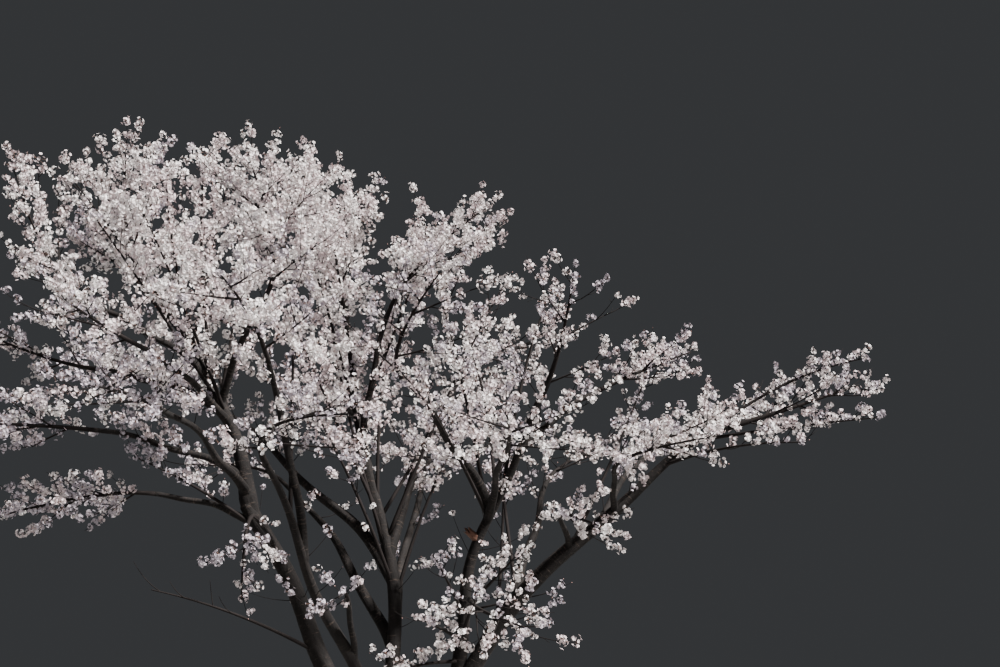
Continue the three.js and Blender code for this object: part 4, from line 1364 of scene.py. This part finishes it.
# White and shell are the petals' own tints. The lilac grey is a darker tone that paints shade, and
# the bright one is a paler tone that paints light. Both are also dealt at random for tone.
PETAL_FINISHES = [
    plain_finish("petal_white", (0.71, 0.66, 0.66), 0.55),
    plain_finish("petal_shell", (0.69, 0.595, 0.61), 0.55),
    plain_finish("petal_lilac_grey", (0.48, 0.435, 0.485), 0.6),
    plain_finish("petal_bright", (0.96, 0.925, 0.92), 0.5),
]


# The tree's pieces

def add_bark_piece(name, node, skin):
    """A limb's skin as a piece, with the places for its grain."""
    places, faces, grain = skin
    piece = add_piece(name, places, faces, [BARK_FINISH], "bark", [node])
    made = piece.data.attributes.new("bark_place", "FLOAT_VECTOR", "POINT")
    made.data.foreach_set("vector", grain.astype(np.float32).ravel())


def add_limbs(limbs):
    """The skins of the trunk, the stems and the boughs, and the torn stub."""
    trunk_stems = [limbs[plan.name] for plan in STEMS if plan.parent == "trunk"]
    add_bark_piece("trunk_bark", "trunk", trunk_skin(limbs["trunk"], trunk_stems))
    for seed, (name, limb) in enumerate(list(limbs.items())[1:], start=1):
        kind = "stem" if name.startswith("stem") else "bough"
        node = name if kind == "stem" else f"bough_{name}"
        add_bark_piece(f"{node}_bark", node, limb_skin(limb, *LIMB_SKIN[kind], seed))
    stub = broken_stub(limbs[STUB["limb"]])
    add_piece("broken_stub", *stub, [HEARTWOOD_FINISH], "bark", [STUB["limb"]])


def add_wood(name, node, wood, number):
    """The twigs of one mass: every kind of its fine wood as tubes."""
    parts = []
    for kind, (rings, sides) in TUBES.items():
        own = wood[kind].rows(wood[kind].mass == number)
        parts.append(shoot_tubes(own, rings, sides))
    add_piece(f"twigs_{name}", *merged(parts), [TWIG_FINISH], "bark", [node])


def add_petals(name, node, flowers, tints):
    """The petals of one mass: its flowers by the rim that they have, tinted by their cluster, with
    the painted light and painted shade that the tints carry.
    """
    parts, tint_parts = [], []
    for kind, rim in enumerate(RIMS):
        alike = picked(flowers, flowers.rim == kind)
        places, faces = set_on_flowers(flower_pattern(rim), alike, alike.cup)
        parts.append((places, faces))
        tint_parts.append(np.repeat(tints[alike.cluster], len(faces) // len(alike.rim)))
    add_piece(f"petals_{name}", *merged(parts), PETAL_FINISHES, "blossom", [node],
              np.concatenate(tint_parts), smooth=False)


def add_stalks(name, node, flowers, clusters, tables):
    """The stalks of one mass's flowers, buds on a seeded choice of its shoots, and stamens in the
    flowers that stand out most."""
    slender = stalks(clusters.middle[flowers.cluster], flowers)
    budded = [table.rows(own & (draw.random(len(table)) < BUD["share"])) for table, own in tables]
    tip_buds = merged([buds(table) for table in budded])
    open_wide = picked(flowers, flowers.rim == len(RIMS) - 1)
    stamens = set_on_flowers(stamen_pattern(), open_wide, open_wide.radius)
    which = np.repeat([0, 1, 2], [len(slender[1]), len(tip_buds[1]), len(stamens[1])])
    add_piece(f"stalks_{name}", *merged([slender, tip_buds, stamens]),
              [STALK_FINISH, BUD_FINISH, STAMEN_FINISH], "blossom", [node], which, smooth=False)


def add_masses(masses, growth, clusters, flowers, tints):
    """The wood, the petals and the stalks of every mass, each as a piece on the mass's node."""
    wood = growth._asdict()
    wood["thin_boughs"] = joined([growth.thin_boughs, growth.bare_wood])
    wood["shoots"] = joined([growth.shoots, growth.strays])
    for number, mass in enumerate(masses):
        node = f"blossom_{mass.name}"
        add_wood(mass.name, node, wood, number)
        own = picked(flowers, clusters.mass[flowers.cluster] == number)
        add_petals(mass.name, node, own, tints)
        tables = [(wood[kind], wood[kind].mass == number) for kind in ("shoots", "side_shoots")]
        add_stalks(mass.name, node, own, clusters, tables)


limbs = grow_limbs()
limb_beads = np.vstack([
    beads_along(limb.path, limb.radius, BEADS["limb"]) for limb in limbs.values()
])
masses = [
    Mass(plan, limbs[CARRIED_BY_STEM.get(plan.name, plan.name)], seed)
    for seed, plan in enumerate(MASSES, start=1)
]
share_out(masses, limb_beads)
growth = grow_fine(masses, limbs)
add_limbs(limbs)
clusters = clusters_of(growth)
tints = dealt_tints(clusters, masses)
flowers = flowers_of(clusters)
add_masses(masses, growth, clusters, flowers, tints)


# Studio

FLOOR = dict(radius=9.0, sides=192, under=0.001, colour=(0.27, 0.265, 0.255), roughness=0.9)
TREE_MIDDLE = (0.0, 0.0, 4.2)
# The lamps look at the tree's middle: name, kind, place, energy, colour, and how wide each is.
LAMPS = [
    ("sun", "SUN", (8, -3, 14), 17.0, (1.0, 0.965, 0.93), dict(angle=math.radians(6))),
    ("front_softbox", "AREA", (-4, -16, 9), 460, (0.93, 0.95, 1.0), dict(size=12)),
]
WORLD = dict(colour=(0.04, 0.042, 0.045, 1), strength=1.0)


def add_floor():
    """A pale disc just under the flat cut: (r cos(turn), r sin(turn), 0)."""
    sides = FLOOR["sides"]
    rim = on_circle(turns(sides)) * FLOOR["radius"]
    places = np.concatenate([rim, [[0, 0, 0]]]) - UP * FLOOR["under"]
    around = np.arange(sides)
    faces = np.stack([np.full(sides, sides), around, (around + 1) % sides], axis=-1)
    finish = plain_finish("pale_floor", FLOOR["colour"], FLOOR["roughness"])
    floor = add_piece("floor", places, faces, [finish])


def aim(thing, place, target):
    """Puts a lamp or the camera at a place, looking at a target."""
    thing.location = place
    thing.rotation_euler = (Vector(target) - Vector(place)).to_track_quat("-Z", "Y").to_euler()


def add_lamp(name, kind, place, energy, colour, values):
    """A lamp at a place that looks at the tree's middle."""
    lamp = bpy.data.lights.new(name, kind)
    lamp.energy, lamp.color = energy, colour
    for key, value in values.items():
        setattr(lamp, key, value)
    holder = bpy.data.objects.new(name, lamp)
    bpy.context.scene.collection.objects.link(holder)
    aim(holder, place, TREE_MIDDLE)


add_floor()
for row in LAMPS:
    add_lamp(*row)
world = bpy.data.worlds.new("studio")
bpy.context.scene.world = world
world.use_nodes = True
background = world.node_tree.nodes["Background"]
background.inputs["Color"].default_value = WORLD["colour"]
background.inputs["Strength"].default_value = WORLD["strength"]

lens = bpy.data.cameras.new("camera")
lens.lens, lens.sensor_width = CAMERA["lens"], CAMERA["sensor"]
camera = bpy.data.objects.new("camera", lens)
bpy.context.scene.collection.objects.link(camera)
aim(camera, CAMERA["place"], CAMERA["aim"])
bpy.context.scene.camera = camera
